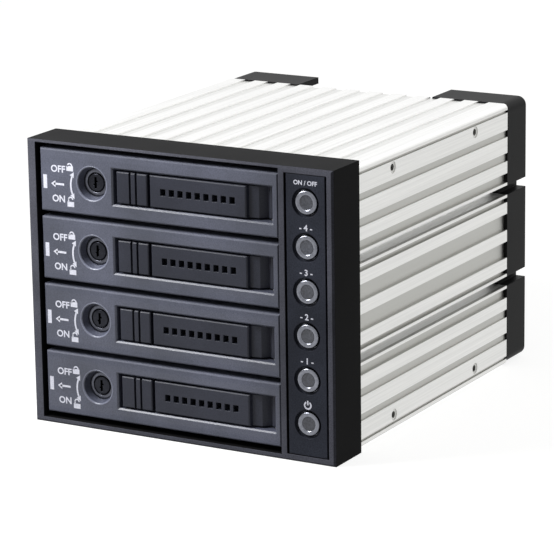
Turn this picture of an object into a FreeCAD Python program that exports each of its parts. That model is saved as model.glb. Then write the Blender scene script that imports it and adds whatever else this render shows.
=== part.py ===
import FreeCAD, Part
import os
import re
import Sketcher

# Hot swap drive cage: three 5.25-inch bays filled with four 3.5-inch drive trays.
# Millimetres, +Z up, the front faces -Y, the origin is under the middle of the cage.
# Depths are measured from the front plane of the bezel, heights of the trays and of the
# body from their own middles, and each sub-part's Placement brings them together.

doc = FreeCAD.newDocument("drive_cage")

SIZES = {
    # Ribbed body
    "body_width": 146, "body_height": 122.2, "body_lift": 0.8, "cap_depth": 19.6,
    "side_wall": 1.8, "deep_groove": 1.7, "shallow_groove": 0.9, "seam_drop": 2.7,
    "slot_share": 0.35, "slot_height": 4.4, "slot_depth": 7.4, "slot_wall": 1.2,
    "slot_lip": 1.3, "slot_corner": 0.5, "middle_land": 5.4, "second_land_share": 0.213,
    "third_land_share": 0.524, "third_land": 5.6, "fourth_land_inset": 18.8, "fourth_land": 7.4,
    "outer_land_inset": 7.9, "outer_land": 8,
    "port_share": 0.6, "port_inset": 6.1, "port_radius": 2.4, "port_bore": 1.25, "port_web": 3,
    "chassis_hole_radius": 1.5, "chassis_hole_inset": 6.7, "chassis_hole_first": 33,
    "chassis_hole_pitch": 79.25, "spotface_radius": 2.6, "spotface_depth": 0.4,
    # Ribbed top and bottom extrusions
    "roof_wall": 1.4, "roof_groove": 0.7, "roof_groove_width": 5.2, "roof_margin": 12,
    "roof_grooves": 11, "roof_corner": 2.2, "tongue": 1.5, "tongue_drop": 2, "tongue_gap": 0.1,
    # Bezel and its openings
    "bezel_depth": 23, "bezel_lip": 1.5, "bezel_crown": 3, "bezel_back_wall": 3,
    "bezel_chamfer": 0.8, "bay_left_rim": 2.8, "bay_bottom": 2.4, "bay_top_rim": 1.1,
    "column_post": 2.6, "column_width": 20, "column_right_rim": 1.4, "column_bottom": 3,
    "column_top_rim": 2.6, "back_gap": 0.9, "back_gap_height": 0.2,
    "column_rebate": 2.4, "column_ledge": 1.6, "panel_side_gap": 1, "panel_end_gap": 0.3,
    "control_panel_thickness": 2.2,
    # Buttons and their board
    "buttons": 6, "button_bottom_margin": 14, "button_top_margin": 11.9,
    "button_radius": 5.2, "button_recess_radius": 6.3, "button_recess": 1.1, "button_gap": 0.3,
    "button_flange": 1, "button_flange_rim": 1.2, "button_set_back": 0.3, "button_play": 0.2,
    "button_dish_radius": 3.1, "dish_sink": 0.5, "button_round": 0.4,
    "stem_radius": 1.4, "stem_length": 4, "stem_gap": 0.08, "switch_width": 6, "switch_depth": 3.6,
    "switch_bore_depth": 2.4, "switch_to_flange": 3.2, "board_thickness": 1.6,
    "control_board_width": 13, "control_board_margin": 5.2, "standoff_radius": 2.6,
    # Trays
    "trays": 4, "tray_gap": 2.5, "tray_end_gap": 2.5, "tray_left_gap": 1.7,
    "tray_right_gap": 0.7, "tray_set_back": 1, "tray_thickness": 8.5, "tray_chamfer": 0.6,
    "recess_from_lock": 10.5, "recess_rim": 3, "recess_height": 15.3, "recess_depth": 7,
    "lip_chamfer": 0.7, "lever_chamfer": 0.4,
    # Lever
    "lever_gap": 0.8, "lever_set_back": 0.2, "lever_thickness": 4.6, "lever_step": 2,
    "lever_step_run": 0.6, "step_from_pivot": 9.9, "pivot_inset": 2.5, "pivot_depth": 7.2,
    "knuckle_radius": 2, "pin_radius": 1, "pin_gap": 0.05, "pin_bite": 4.5, "knuckle_room": 5,
    "neck_run": 4.9, "neck_fall": 0.4, "neck_side": 1.8, "neck_back": 0.8,
    "hook_length": 4.7, "hook_width": 2.4, "hook_tilt": 1.8, "hook_height": 4.8, "hook_gap": 0.4,
    "vent_margin": 6.5, "vents": 9, "vent_bar": 1.6, "vent_height": 3,
    # Latch
    "latch_end_gap": 1.8, "latch_width": 15.1, "latch_travel": 1.4, "latch_floor_gap": 0.3,
    "latch_rail": 1.7, "latch_rail_depth": 4.5, "latch_rail_thickness": 1.6, "rail_gap": 0.3,
    "grip_groove": 1, "grip_depth": 1.4, "grip_inset": 6.7, "grip_pitch": 3,
    # Lock
    "lock_inset": 26, "lock_rise": 0.2, "dish_radius": 7.5, "dish_depth": 3.4, "dish_floor": 6.3,
    "flange_radius": 6.2, "flange_thickness": 1, "barrel_radius": 5.2, "barrel_length": 4.8,
    "core_radius": 4.2, "core_gap": 0.05, "core_proud": 0.3, "keyway_width": 1.1,
    "keyway_height": 5, "keyway_depth": 3.2, "fit_gap": 0.05,
    # Sleds
    "drive_room": 0.1, "sled_wall": 1.2, "sled_floor": 0.8, "sled_wall_top": 1.5,
    "sled_length": 145, "sled_end_gap": 1, "runner_height": 2.8, "runner_reach": 1.8,
    "runner_rise": -4, "slide_gap": 0.4, "runner_gap": 0.3, "lug_length": 5.2,
    "lug_inset": 0.75, "lug_height": 5.5, "notch_length": 5.5, "runner_start": 15.5,
    "floor_rim": 12, "floor_bar": 10, "drive_hole_radius": 1.8, "drive_hole_height": 6.35,
    "drive_hole_pitch": 101.6, "drive_hole_first": 28.5,
    "tray_screw_radius": 1, "tray_screw_head": 2, "tray_screw_cap": 1.2, "tray_screw_bite": 5,
    # Guides
    "guide_thickness": 2.7, "guide_web": 0.9, "guide_clear": 3, "partition_from_column": 8.3,
    "partition_thickness": 2.8, "partition_flange": 8, "partition_flange_thickness": 1.6,
    # Backplane
    "backplane_from_cap": 3.5, "backplane_margin": 0.4, "backplane_end_gap": 1,
    "connector_width": 41, "connector_height": 5.5, "connector_depth": 8,
    "connector_offset": 12, "connector_drop": 1, "connector_slot": 1.6, "connector_slot_depth": 4,
    "air_left_margin": 6, "air_right_margin": 11.6, "air_above_floor": 9.2, "air_below_next": 5,
    "data_port_inset": 20, "port_width": 14, "port_height": 6.4, "port_depth": 9,
    "port_wall": 1, "port_bite": 6, "power_inset": 15.4, "power_width": 9, "power_height": 22,
    "power_depth": 12, "power_spread": 15, "power_pin_bore": 1.8, "power_pins": 4,
    "power_pin_pitch": 5.08, "window_gap": 1.2,
    # Rear cap
    "cap_wall": 3, "cap_plate": 2.4, "cap_corner": 4, "cap_slot_depth": 4.5, "cap_slot_wall": 1.6,
    "cap_notch_inset": 38, "cap_notch_depth": 6.5, "board_boss_radius": 3,
    "board_boss_inset": 14.5, "board_boss_edge": 6.1,
    # Fan
    "fan_margin": 10.8, "fan_depth": 15, "fan_rim": 2, "fan_hole_inset": 4.25,
    "fan_hole_radius": 2.15, "fan_corner": 4, "hub_radius": 15.5, "hub_depth": 10,
    "hub_set_back": 1.4, "blade_gap": 1.4, "blades": 7, "blade_thickness": 1.3, "hub_round": 1,
    "root_chord": 11, "tip_chord": 17, "blade_pitch": 38, "strut_width": 3, "strut_depth": 2.6,
    "motor_radius": 15, "shaft_radius": 1.5, "shaft_length": 2, "shaft_gap": 0.05,
    # Screws
    "screw_head": 2.6, "screw_head_depth": 1.8, "screw_shank": 1.2, "screw_bite": 8,
    "screw_hole": 1.6, "board_screw_bite": 3, "fan_screw_radius": 1.9, "fan_screw_head": 3.4,
    "fan_screw_cap": 1.6,
}

# Places and shapes that follow from the sizes above.
PLACES = {
    "front": "-(bezel_depth + panel_length + cap_depth) / 2",
    "middle": "body_lift + body_height / 2",
    "body_half": "body_width / 2",
    "body_rise": "body_height / 2",
    "bezel_width": "body_width + 2 * bezel_lip",
    "bezel_height": "body_lift + body_height + bezel_crown",
    "connector_front": "sled_end + sled_end_gap",
    "backplane_front": "connector_front + connector_depth",
    "backplane_back": "backplane_front + board_thickness",
    "panel_end": "backplane_back + backplane_from_cap",
    "panel_length": "panel_end - bezel_depth",
    "cap_end": "panel_end + cap_depth",
    "wall_inside": "body_half - deep_groove - side_wall",
    "slot_inside": "body_half - slot_depth - slot_wall",
    "slot_half": "slot_height / 2",
    "slot_rise": "body_rise * slot_share",
    "slot_shell": "slot_half + slot_wall + slot_corner",
    "second_land_rise": "body_rise * second_land_share",
    "third_land_rise": "body_rise * third_land_share",
    "fourth_land_rise": "body_rise - fourth_land_inset",
    "outer_land_rise": "body_rise - outer_land_inset",
    "chassis_hole_rise": "body_rise - chassis_hole_inset",
    "hole_start": "bezel_depth + chassis_hole_first",
    "port_rise": "body_rise * port_share",
    "seam": "body_rise - seam_drop",
    "port_place": "body_half - port_inset",
    "roof_inside": "body_rise - roof_groove - roof_wall",
    "roof_span": "body_width - 2 * roof_margin",
    "roof_pitch": "roof_span / (roof_grooves - 1)",
    "column_right": "body_half - column_right_rim",
    "column_left": "column_right - column_width",
    "column_top": "bezel_height - column_top_rim",
    "bay_left": "bay_left_rim - body_half",
    "bay_right": "column_left - column_post",
    "bay_top": "bezel_height - bay_top_rim",
    "guide_face": "guide_thickness - slot_inside",
    "partition_face": "column_left - partition_from_column",
    "sled_left": "guide_face + slide_gap",
    "sled_right": "partition_face - slide_gap",
    "drive_left": "sled_left + sled_wall + drive_room",
    "drive_right": "sled_right - sled_wall - drive_room",
    "drive_centre": "(drive_left + drive_right) / 2",
    "drive_width": "drive_right - drive_left",
    "runner_left": "sled_left - runner_reach",
    "runner_right": "sled_right + runner_reach",
    "guide_groove": "runner_height + 2 * runner_gap",
    "back_left": "runner_left - back_gap",
    "back_right": "runner_right + back_gap",
    "back_bottom": "middle - roof_inside + back_gap_height",
    "back_top": "middle + roof_inside",
    "back_wall": "bezel_depth - bezel_back_wall",
    "control_panel_front": "column_rebate - control_panel_thickness",
    "button_x": "(column_left + column_right) / 2",
    "button_first": "column_bottom + button_bottom_margin",
    "button_last": "column_top - button_top_margin",
    "button_pitch": "(button_last - button_first) / (buttons - 1)",
    "button_hole": "button_radius + button_gap",
    "button_front": "button_set_back",
    "flange_front": "column_rebate + button_play",
    "flange_back": "flange_front + button_flange",
    "switch_front": "flange_back + switch_to_flange",
    "control_board_front": "switch_front + switch_depth",
    "control_board_back": "control_board_front + board_thickness",
    "tray_back": "tray_set_back + tray_thickness",
    "tray_room": "bay_top - bay_bottom - 2 * tray_end_gap + tray_gap",
    "tray_pitch": "tray_room / trays",
    "tray_half": "(tray_pitch - tray_gap) / 2",
    "tray_first": "bay_bottom + tray_end_gap + tray_half",
    "tray_left": "bay_left + tray_left_gap",
    "tray_right": "bay_right - tray_right_gap",
    "lock_x": "tray_left + lock_inset",
    "recess_left": "lock_x + recess_from_lock",
    "recess_right": "tray_right - recess_rim",
    "recess_half": "recess_height / 2",
    "recess_back": "tray_set_back + recess_depth",
    "latch_left": "recess_left + latch_end_gap",
    "latch_right": "latch_left + latch_width",
    "lever_left": "latch_right + latch_travel",
    "pivot_x": "recess_right - pivot_inset",
    "lever_plate_right": "pivot_x - step_from_pivot",
    "vent_first": "lever_left + vent_margin",
    "vent_pitch": "(lever_plate_right - lever_left - 2 * vent_margin) / (vents - 1)",
    "vent_width": "vent_pitch - vent_bar",
    "lever_front": "tray_set_back + lever_set_back",
    "lever_back": "lever_front + lever_thickness",
    "lever_low": "lever_front + lever_step",
    "lever_rise": "recess_height / 2 - lever_gap",
    "latch_front": "lever_front",
    "latch_back": "recess_back - latch_floor_gap",
    "latch_rise": "recess_height / 2 - lever_gap",
    "rail_front": "tray_set_back + latch_rail_depth",
    "rail_back": "rail_front + latch_rail_thickness",
    "dish_back": "tray_set_back + dish_depth",
    "flange_seat": "dish_back + flange_thickness",
    "barrel_back": "dish_back + barrel_length",
    "floor_bottom": "-tray_pitch / 2",
    "floor_top": "floor_bottom + sled_floor",
    "drive_bottom": "floor_top + drive_room",
    "air_bottom": "floor_top + air_above_floor",
    "air_top": "tray_pitch / 2 - air_below_next",
    "sled_end": "tray_back + sled_length",
    "lug_left": "sled_left - lug_length",
    "lug_right": "sled_right + lug_length",
    "lug_bottom": "lug_inset - tray_half",
    "lug_top": "lug_bottom + lug_height",
    "lug_back": "tray_back + sled_wall",
    "tray_screw_left": "sled_left - lug_length / 2",
    "tray_screw_right": "sled_right + lug_length / 2",
    "tray_screw_rise": "(lug_bottom + lug_top) / 2",
    "guide_back": "connector_front",
    "backplane_half": "slot_inside - backplane_margin",
    "backplane_rise": "roof_inside - backplane_end_gap",
    "drive_end": "connector_front + connector_slot_depth",
    "connector_x": "drive_centre + connector_offset",
    "port_x": "body_half - data_port_inset",
    "power_x": "power_inset - body_half",
    "board_boss_x": "body_half - board_boss_inset",
    "board_boss_rise": "body_rise - board_boss_edge",
    "cap_floor": "panel_end + cap_plate",
    "fan_size": "drive_width - 2 * fan_margin",
    "fan_bore": "fan_size / 2 - fan_rim",
    "fan_hole_half": "fan_size / 2 - fan_hole_inset",
    "fan_back": "cap_floor + fan_depth",
    "hub_front": "cap_floor + hub_set_back",
    "hub_back": "hub_front + hub_depth",
    "strut_front": "fan_back - strut_depth",
}


def fill_sheet(name, values):
    sheet = doc.addObject("Spreadsheet::Sheet", name)
    for row, (alias, value) in enumerate(values.items(), start=1):
        sheet.set(f"A{row}", alias)
        sheet.set(f"B{row}", value if isinstance(value, str) else repr(value))
        sheet.setAlias(f"B{row}", alias)
    doc.recompute()
    return sheet


def bound(text):
    """The text with each alias led by its sheet's name, as an expression needs it."""
    def with_sheet(match):
        word = match.group(0)
        if word in SIZES:
            return "Sizes." + word
        if word in PLACES:
            return "Places." + word
        return word
    return re.sub(r"[a-z]\w*", with_sheet, text)


fill_sheet("Sizes", SIZES)
sheet = fill_sheet("Places", {name: "=" + bound(text) for name, text in PLACES.items()})


def number(text):
    return float(sheet.evalExpression(bound(text)))


# Each sub-part is a body with its own label and placement.

parts = []


def new_body(label, height="0"):
    body = doc.addObject("PartDesign::Body", label)
    body.Label = label
    body.setExpression("Placement.Base.y", bound("front"))
    body.setExpression("Placement.Base.z", bound(height))
    parts.append(body)
    return body


def copy_of(original, label, height="0", turned=False):
    """A second body of the same shape, at its own height or turned over about the Y axis."""
    body = doc.addObject("PartDesign::Body", label)
    body.Label = label
    shape = doc.addObject("PartDesign::FeatureBase", label + "_shape")
    shape.BaseFeature = original
    body.Group = [shape]
    body.Tip = shape
    if turned:
        body.Placement.Rotation = FreeCAD.Rotation(FreeCAD.Vector(0, 1, 0), 180)
    body.setExpression("Placement.Base.y", bound("front"))
    body.setExpression("Placement.Base.z", bound(height))
    parts.append(body)
    return body


def sketch_on(body, role, offset="0"):
    """A sketch on the body's own origin plane, moved along +X, +Y or +Z by the offset."""
    sketch = body.newObject("Sketcher::SketchObject", body.Name + "_sketch")
    plane = [item for item in body.Origin.OriginFeatures if item.Role == role][0]
    sketch.AttachmentSupport = (plane, [""])
    sketch.MapMode = "FlatFace"
    sign = "-1" if role == "XZ_Plane" else "1"
    sketch.setExpression("AttachmentOffset.Base.z", bound(f"{sign} * ({offset})"))
    return sketch


def front_sketch(body, depth="0"):
    return sketch_on(body, "XZ_Plane", depth)


def top_sketch(body, height="0"):
    return sketch_on(body, "XY_Plane", height)


def side_sketch(body, place="0"):
    return sketch_on(body, "YZ_Plane", place)


def outline(sketch, points):
    """A closed outline, each corner held by its two distances from the sketch's origin."""
    corners = [FreeCAD.Vector(number(across), number(up), 0) for across, up in points]
    first = sketch.GeometryCount
    count = len(corners)
    edges = [Part.LineSegment(corners[i], corners[(i + 1) % count]) for i in range(count)]
    sketch.addGeometry(edges, False)
    constraints = []
    for i in range(count):
        following = first + (i + 1) % count
        constraints.append(Sketcher.Constraint("Coincident", first + i, 2, following, 1))
    start = sketch.ConstraintCount + count
    texts = []
    for i, (across, up) in enumerate(points):
        for kind, text, value in (("DistanceX", across, corners[i].x), ("DistanceY", up, corners[i].y)):
            constraints.append(Sketcher.Constraint(kind, -1, 1, first + i, 1, value))
            texts.append(text)
    sketch.addConstraint(constraints)
    for i, text in enumerate(texts):
        sketch.setExpression(f"Constraints[{start + i}]", bound(text))


def rectangle(sketch, left, right, low, high):
    outline(sketch, [(left, low), (right, low), (right, high), (left, high)])


def circle(sketch, across, up, radius):
    centre = FreeCAD.Vector(number(across), number(up), 0)
    edge = sketch.GeometryCount
    sketch.addGeometry(Part.Circle(centre, FreeCAD.Vector(0, 0, 1), number(radius)), False)
    start = sketch.ConstraintCount
    sketch.addConstraint([
        Sketcher.Constraint("DistanceX", -1, 1, edge, 3, centre.x),
        Sketcher.Constraint("DistanceY", -1, 1, edge, 3, centre.y),
        Sketcher.Constraint("Radius", edge, number(radius)),
    ])
    for i, text in enumerate((across, up, radius)):
        sketch.setExpression(f"Constraints[{start + i}]", bound(text))


def pad(body, sketch, length, reverse=False, middle=False):
    """A pad of the sketch. From a front sketch, reverse=True runs back into the cage."""
    feature = body.newObject("PartDesign::Pad", body.Name + "_pad")
    feature.Profile = sketch
    feature.setExpression("Length", bound(length))
    feature.Reversed = reverse
    feature.Midplane = middle
    sketch.Visibility = False
    return feature


def pocket(body, sketch, length, reverse=False, middle=False):
    """A pocket of the sketch. From a front sketch it runs back into the cage."""
    feature = body.newObject("PartDesign::Pocket", body.Name + "_pocket")
    feature.Profile = sketch
    feature.setExpression("Length", bound(length))
    feature.Reversed = reverse
    feature.Midplane = middle
    return feature


def box_pad(body, left, right, low, high, front, back):
    sketch = front_sketch(body, front)
    rectangle(sketch, left, right, low, high)
    return pad(body, sketch, f"{back} - ({front})", reverse=True)


def box_pocket(body, left, right, low, high, front, back):
    sketch = front_sketch(body, front)
    rectangle(sketch, left, right, low, high)
    return pocket(body, sketch, f"{back} - ({front})")


def round_pad(body, across, up, radius, front, back):
    sketch = front_sketch(body, front)
    circle(sketch, across, up, radius)
    return pad(body, sketch, f"{back} - ({front})", reverse=True)


def round_pocket(body, across, up, radius, front, back):
    sketch = front_sketch(body, front)
    circle(sketch, across, up, radius)
    return pocket(body, sketch, f"{back} - ({front})")


def rows(body, feature, axis, pitch, count, reverse=False):
    """The feature repeated along a line of the body's origin."""
    pattern = body.newObject("PartDesign::LinearPattern", body.Name + "_rows")
    line = [item for item in body.Origin.OriginFeatures if item.Role == axis][0]
    pattern.Originals = [feature]
    pattern.Direction = (line, [""])
    pattern.Reversed = reverse
    pattern.Mode = "Spacing"
    pattern.setExpression("Offset", bound(pitch))
    pattern.setExpression("Occurrences", bound(count))
    body.Tip = pattern
    return pattern


def edges_at(feature, test):
    """Names of the feature's edges whose middle points pass the test."""
    names = []
    for i, edge in enumerate(feature.Shape.Edges, start=1):
        if test(edge.BoundBox):
            names.append(f"Edge{i}")
    return names


def chamfer(body, feature, size, test):
    doc.recompute()
    cut = body.newObject("PartDesign::Chamfer", body.Name + "_chamfer")
    cut.Base = (feature, edges_at(feature, test))
    cut.setExpression("Size", bound(size))
    return cut


def fillet(body, feature, radius, test):
    doc.recompute()
    rounding = body.newObject("PartDesign::Fillet", body.Name + "_fillet")
    rounding.Base = (feature, edges_at(feature, test))
    rounding.setExpression("Radius", bound(radius))
    return rounding


def turned_sketch(body, points, across, up):
    """An outline of (radius, depth) points beside a line along +Y through (across, up)."""
    sketch = top_sketch(body, up)
    outline(sketch, [(f"{across} + {radius}", depth) for radius, depth in points])
    axis = sketch.GeometryCount
    low = FreeCAD.Vector(number(across), 0, 0)
    sketch.addGeometry(Part.LineSegment(low, low + FreeCAD.Vector(0, 1, 0)), True)
    start = sketch.ConstraintCount
    sketch.addConstraint([
        Sketcher.Constraint("DistanceX", -1, 1, axis, 1, low.x),
        Sketcher.Constraint("PointOnObject", axis, 1, -1),
        Sketcher.Constraint("Vertical", axis),
        Sketcher.Constraint("DistanceY", axis, 1, axis, 2, 1),
    ])
    sketch.setExpression(f"Constraints[{start}]", bound(across))
    return sketch


def turned(body, points, across="0", up="0"):
    """A solid turned about a line along +Y through (across, up)."""
    sketch = turned_sketch(body, points, across, up)
    feature = body.newObject("PartDesign::Revolution", body.Name + "_turned")
    feature.Profile = sketch
    feature.ReferenceAxis = (sketch, ["Axis0"])
    feature.Angle = 360
    return feature


def cut_turned(body, points, across="0", up="0"):
    """A groove turned about a line along +Y through (across, up)."""
    sketch = turned_sketch(body, points, across, up)
    feature = body.newObject("PartDesign::Groove", body.Name + "_groove")
    feature.Profile = sketch
    feature.ReferenceAxis = (sketch, ["Axis0"])
    feature.Angle = 360
    return feature


def pin_holes(body, places, radius, front, back):
    """Round holes along the depth at the (across, up) places."""
    sketch = front_sketch(body, front)
    for across, up in places:
        circle(sketch, across, up, radius)
    return pocket(body, sketch, f"{back} - ({front})")


def posts(body, places, radius, front, back):
    """Round posts along the depth at the (across, up) places."""
    sketch = front_sketch(body, front)
    for across, up in places:
        circle(sketch, across, up, radius)
    return pad(body, sketch, f"{back} - ({front})", reverse=True)


SIDES = ("1", "-1")


# The ribbed aluminium body: two side extrusions, one turned over to make the other, and
# a top and a bottom extrusion made the same way.

def side_panel():
    body = new_body("side_panel_right", "middle")
    box_pad(body, "wall_inside", "body_half", "-seam", "seam", "bezel_depth", "panel_end")
    shell = front_sketch(body, "bezel_depth")
    for side in SIDES:
        low = f"{side} * slot_rise - slot_shell"
        high = f"{side} * slot_rise + slot_shell"
        rectangle(shell, "slot_inside", "body_half", low, high)
    pad(body, shell, "panel_length", reverse=True)
    webs = front_sketch(body, "bezel_depth")
    for side in SIDES:
        low = f"{side} * port_rise - port_web / 2"
        high = f"{side} * port_rise + port_web / 2"
        rectangle(webs, "port_place", "body_half", low, high)
    pad(body, webs, "panel_length", reverse=True)
    ports = [("port_place", f"{side} * port_rise") for side in SIDES]
    posts(body, ports, "port_radius", "bezel_depth", "panel_end")

    deep = [
        ("middle_land / 2", "second_land_rise - middle_land / 2"),
        ("second_land_rise + middle_land / 2", "slot_rise - slot_half - slot_lip"),
        ("slot_rise + slot_half + slot_lip", "third_land_rise - third_land / 2"),
    ]
    shallow = [
        ("third_land_rise + third_land / 2", "fourth_land_rise - fourth_land / 2"),
        ("fourth_land_rise + fourth_land / 2", "outer_land_rise - outer_land / 2"),
        ("outer_land_rise + outer_land / 2", "seam"),
    ]
    slot = [("slot_rise - slot_half", "slot_rise + slot_half")]
    cuts = ((deep, "deep_groove"), (shallow, "shallow_groove"), (slot, "slot_depth"))
    for spans, depth in cuts:
        grooves = front_sketch(body, "bezel_depth")
        for low, high in spans:
            rectangle(grooves, f"body_half - {depth}", "body_half", low, high)
            rectangle(grooves, f"body_half - {depth}", "body_half", f"-({high})", f"-({low})")
        pocket(body, grooves, "panel_length")

    pin_holes(body, ports, "port_bore", "bezel_depth", "panel_end")
    for radius, depth in (("spotface_radius", "spotface_depth"),
                          ("chassis_hole_radius", "deep_groove + side_wall")):
        holes = side_sketch(body, "body_half")
        for along in ("hole_start", "hole_start + chassis_hole_pitch"):
            for side in SIDES:
                circle(holes, along, f"{side} * chassis_hole_rise", radius)
        pocket(body, holes, depth)
    return body


def top_panel():
    body = new_body("top_panel", "middle")
    half = [
        ("body_half", "seam"),
        ("body_half", "body_rise"),
    ]
    inner = "wall_inside - tongue_gap"
    inside = [
        (inner, "seam"),
        (inner, "roof_inside - tongue_drop"),
        (f"{inner} - tongue", "roof_inside - tongue_drop"),
        (f"{inner} - tongue", "roof_inside"),
    ]
    right = inside[::-1] + half
    left = [(f"-({across})", up) for across, up in reversed(right)]
    profile = front_sketch(body, "bezel_depth")
    outline(profile, right + left)
    plate = pad(body, profile, "panel_length", reverse=True)
    top = number("body_rise")
    side = number("body_half")

    def outer_corner(box):
        long_edge = box.YLength > number("panel_length") / 2
        return long_edge and abs(box.ZMin - top) < 0.01 and abs(abs(box.XMin) - side) < 0.01

    fillet(body, plate, "roof_corner", outer_corner)
    groove = box_pocket(body, "-roof_span / 2 - roof_groove_width / 2",
                        "-roof_span / 2 + roof_groove_width / 2",
                        "body_rise - roof_groove", "body_rise", "bezel_depth", "panel_end")
    rows(body, groove, "X_Axis", "roof_pitch", "roof_grooves")
    return body


# The moulded front: a bezel with the tray bay on the left and the control column on the
# right, and the plate that closes the column.

def screw_places(height):
    return [(f"{side} * port_place", f"{height} + {up} * port_rise") for side in SIDES for up in SIDES]


def standoff_places():
    return [("button_x", "button_first + button_pitch / 2"),
            ("button_x", "button_last - button_pitch / 2")]


def front_bezel():
    body = new_body("front_bezel")
    block = box_pad(body, "-bezel_width / 2", "bezel_width / 2", "0", "bezel_height",
                    "0", "bezel_depth")
    chamfer(body, block, "bezel_chamfer", lambda box: box.YMax < 0.01)
    box_pocket(body, "bay_left", "bay_right", "bay_bottom", "bay_top", "0", "back_wall")
    box_pocket(body, "back_left", "back_right", "back_bottom", "back_top",
               "back_wall", "bezel_depth")
    box_pocket(body, "column_left", "column_right", "column_bottom", "column_top",
               "0", "column_rebate")
    box_pocket(body, "column_left + column_ledge", "column_right - column_ledge",
               "column_bottom + column_ledge", "column_top - column_ledge",
               "column_rebate", "back_wall")
    posts(body, standoff_places(), "standoff_radius", "control_board_back", "back_wall")
    pin_holes(body, standoff_places(), "port_bore", "control_board_back",
              "control_board_back + screw_bite")
    pin_holes(body, screw_places("middle"), "screw_hole", "back_wall", "bezel_depth")
    return body


def control_panel():
    body = new_body("control_panel")
    box_pad(body, "column_left + panel_side_gap", "column_right - panel_side_gap",
            "column_bottom + panel_end_gap", "column_top - panel_end_gap",
            "control_panel_front", "column_rebate")
    recess = round_pocket(body, "button_x", "button_first", "button_recess_radius",
                          "control_panel_front", "control_panel_front + button_recess")
    rows(body, recess, "Z_Axis", "button_pitch", "buttons")
    hole = round_pocket(body, "button_x", "button_first", "button_hole",
                        "control_panel_front", "column_rebate")
    rows(body, hole, "Z_Axis", "button_pitch", "buttons")
    return body


def button():
    body = new_body("button_1", "button_first")
    turned(body, [
        ("0", "button_front + dish_sink"),
        ("button_dish_radius", "button_front + dish_sink"),
        ("button_dish_radius + dish_sink", "button_front"),
        ("button_radius - button_round", "button_front"),
        ("button_radius", "button_front + button_round"),
        ("button_radius", "flange_front"),
        ("button_radius + button_flange_rim", "flange_front"),
        ("button_radius + button_flange_rim", "flange_back"),
        ("stem_radius", "flange_back"),
        ("stem_radius", "flange_back + stem_length"),
        ("0", "flange_back + stem_length"),
    ], "button_x")
    return body


def button_switches():
    body = new_body("button_switches")
    body.AllowCompound = True
    block = box_pad(body, "button_x - switch_width / 2", "button_x + switch_width / 2",
                    "button_first - switch_width / 2", "button_first + switch_width / 2",
                    "switch_front", "control_board_front")
    rows(body, block, "Z_Axis", "button_pitch", "buttons")
    bore = round_pocket(body, "button_x", "button_first", "stem_radius + stem_gap",
                        "switch_front", "switch_front + switch_bore_depth")
    rows(body, bore, "Z_Axis", "button_pitch", "buttons")
    return body


def control_board():
    body = new_body("control_board")
    box_pad(body, "button_x - control_board_width / 2", "button_x + control_board_width / 2",
            "column_bottom + control_board_margin", "column_top - control_board_margin",
            "control_board_front", "control_board_back")
    pin_holes(body, standoff_places(), "screw_hole", "control_board_front", "control_board_back")
    return body


# A tray: its front, sled, lock, lever and latch. Heights are measured from its own middle.

def tray_front():
    body = new_body("tray_front_1", "tray_first")
    block = box_pad(body, "tray_left", "tray_right", "-tray_half", "tray_half",
                    "tray_set_back", "tray_back")
    face = number("tray_set_back") + 0.01
    chamfer(body, block, "tray_chamfer", lambda box: box.YMax < face)
    recess = box_pocket(body, "recess_left", "recess_right", "-recess_half", "recess_half",
                        "tray_set_back", "recess_back")
    rim = number("recess_half") + 0.01
    inner = number("recess_right") + 0.01

    def recess_rim(box):
        return box.YMax < face and abs(box.ZMin) < rim and abs(box.ZMax) < rim and box.XMax < inner

    chamfer(body, recess, "lip_chamfer", recess_rim)
    box_pocket(body, "pivot_x - knuckle_room", "recess_right", "-recess_half", "recess_half",
               "recess_back", "tray_back")
    box_pocket(body, "recess_right", "tray_right", "-hook_height / 2 - hook_gap",
               "hook_height / 2 + hook_gap",
               "pivot_depth - hook_width / 2 - hook_tilt - hook_gap", "tray_back")
    box_pocket(body, "recess_left", "latch_right + rail_gap",
               "-latch_rise - latch_rail - rail_gap", "latch_rise + latch_rail + rail_gap",
               "rail_front - rail_gap", "rail_back + rail_gap")
    vent = box_pocket(body, "vent_first - vent_width / 2", "vent_first + vent_width / 2",
                      "-vent_height / 2", "vent_height / 2", "recess_back", "tray_back")
    rows(body, vent, "X_Axis", "vent_pitch", "vents")
    cut_turned(body, [
        ("0", "tray_set_back"),
        ("dish_radius", "tray_set_back"),
        ("dish_floor", "dish_back"),
        ("flange_radius + fit_gap", "dish_back"),
        ("flange_radius + fit_gap", "flange_seat"),
        ("barrel_radius + fit_gap", "flange_seat"),
        ("barrel_radius + fit_gap", "tray_back"),
        ("0", "tray_back"),
    ], "lock_x", "lock_rise")
    pin_holes(body, tray_screw_places(), "tray_screw_radius + fit_gap",
              "tray_back - tray_screw_bite", "tray_back")
    pivot = top_sketch(body)
    circle(pivot, "pivot_x", "pivot_depth", "pin_radius")
    pocket(body, pivot, "recess_height + 2 * pin_bite", middle=True)
    return body


def tray_screw_places():
    return [("tray_screw_left", "tray_screw_rise"), ("tray_screw_right", "tray_screw_rise")]


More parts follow.
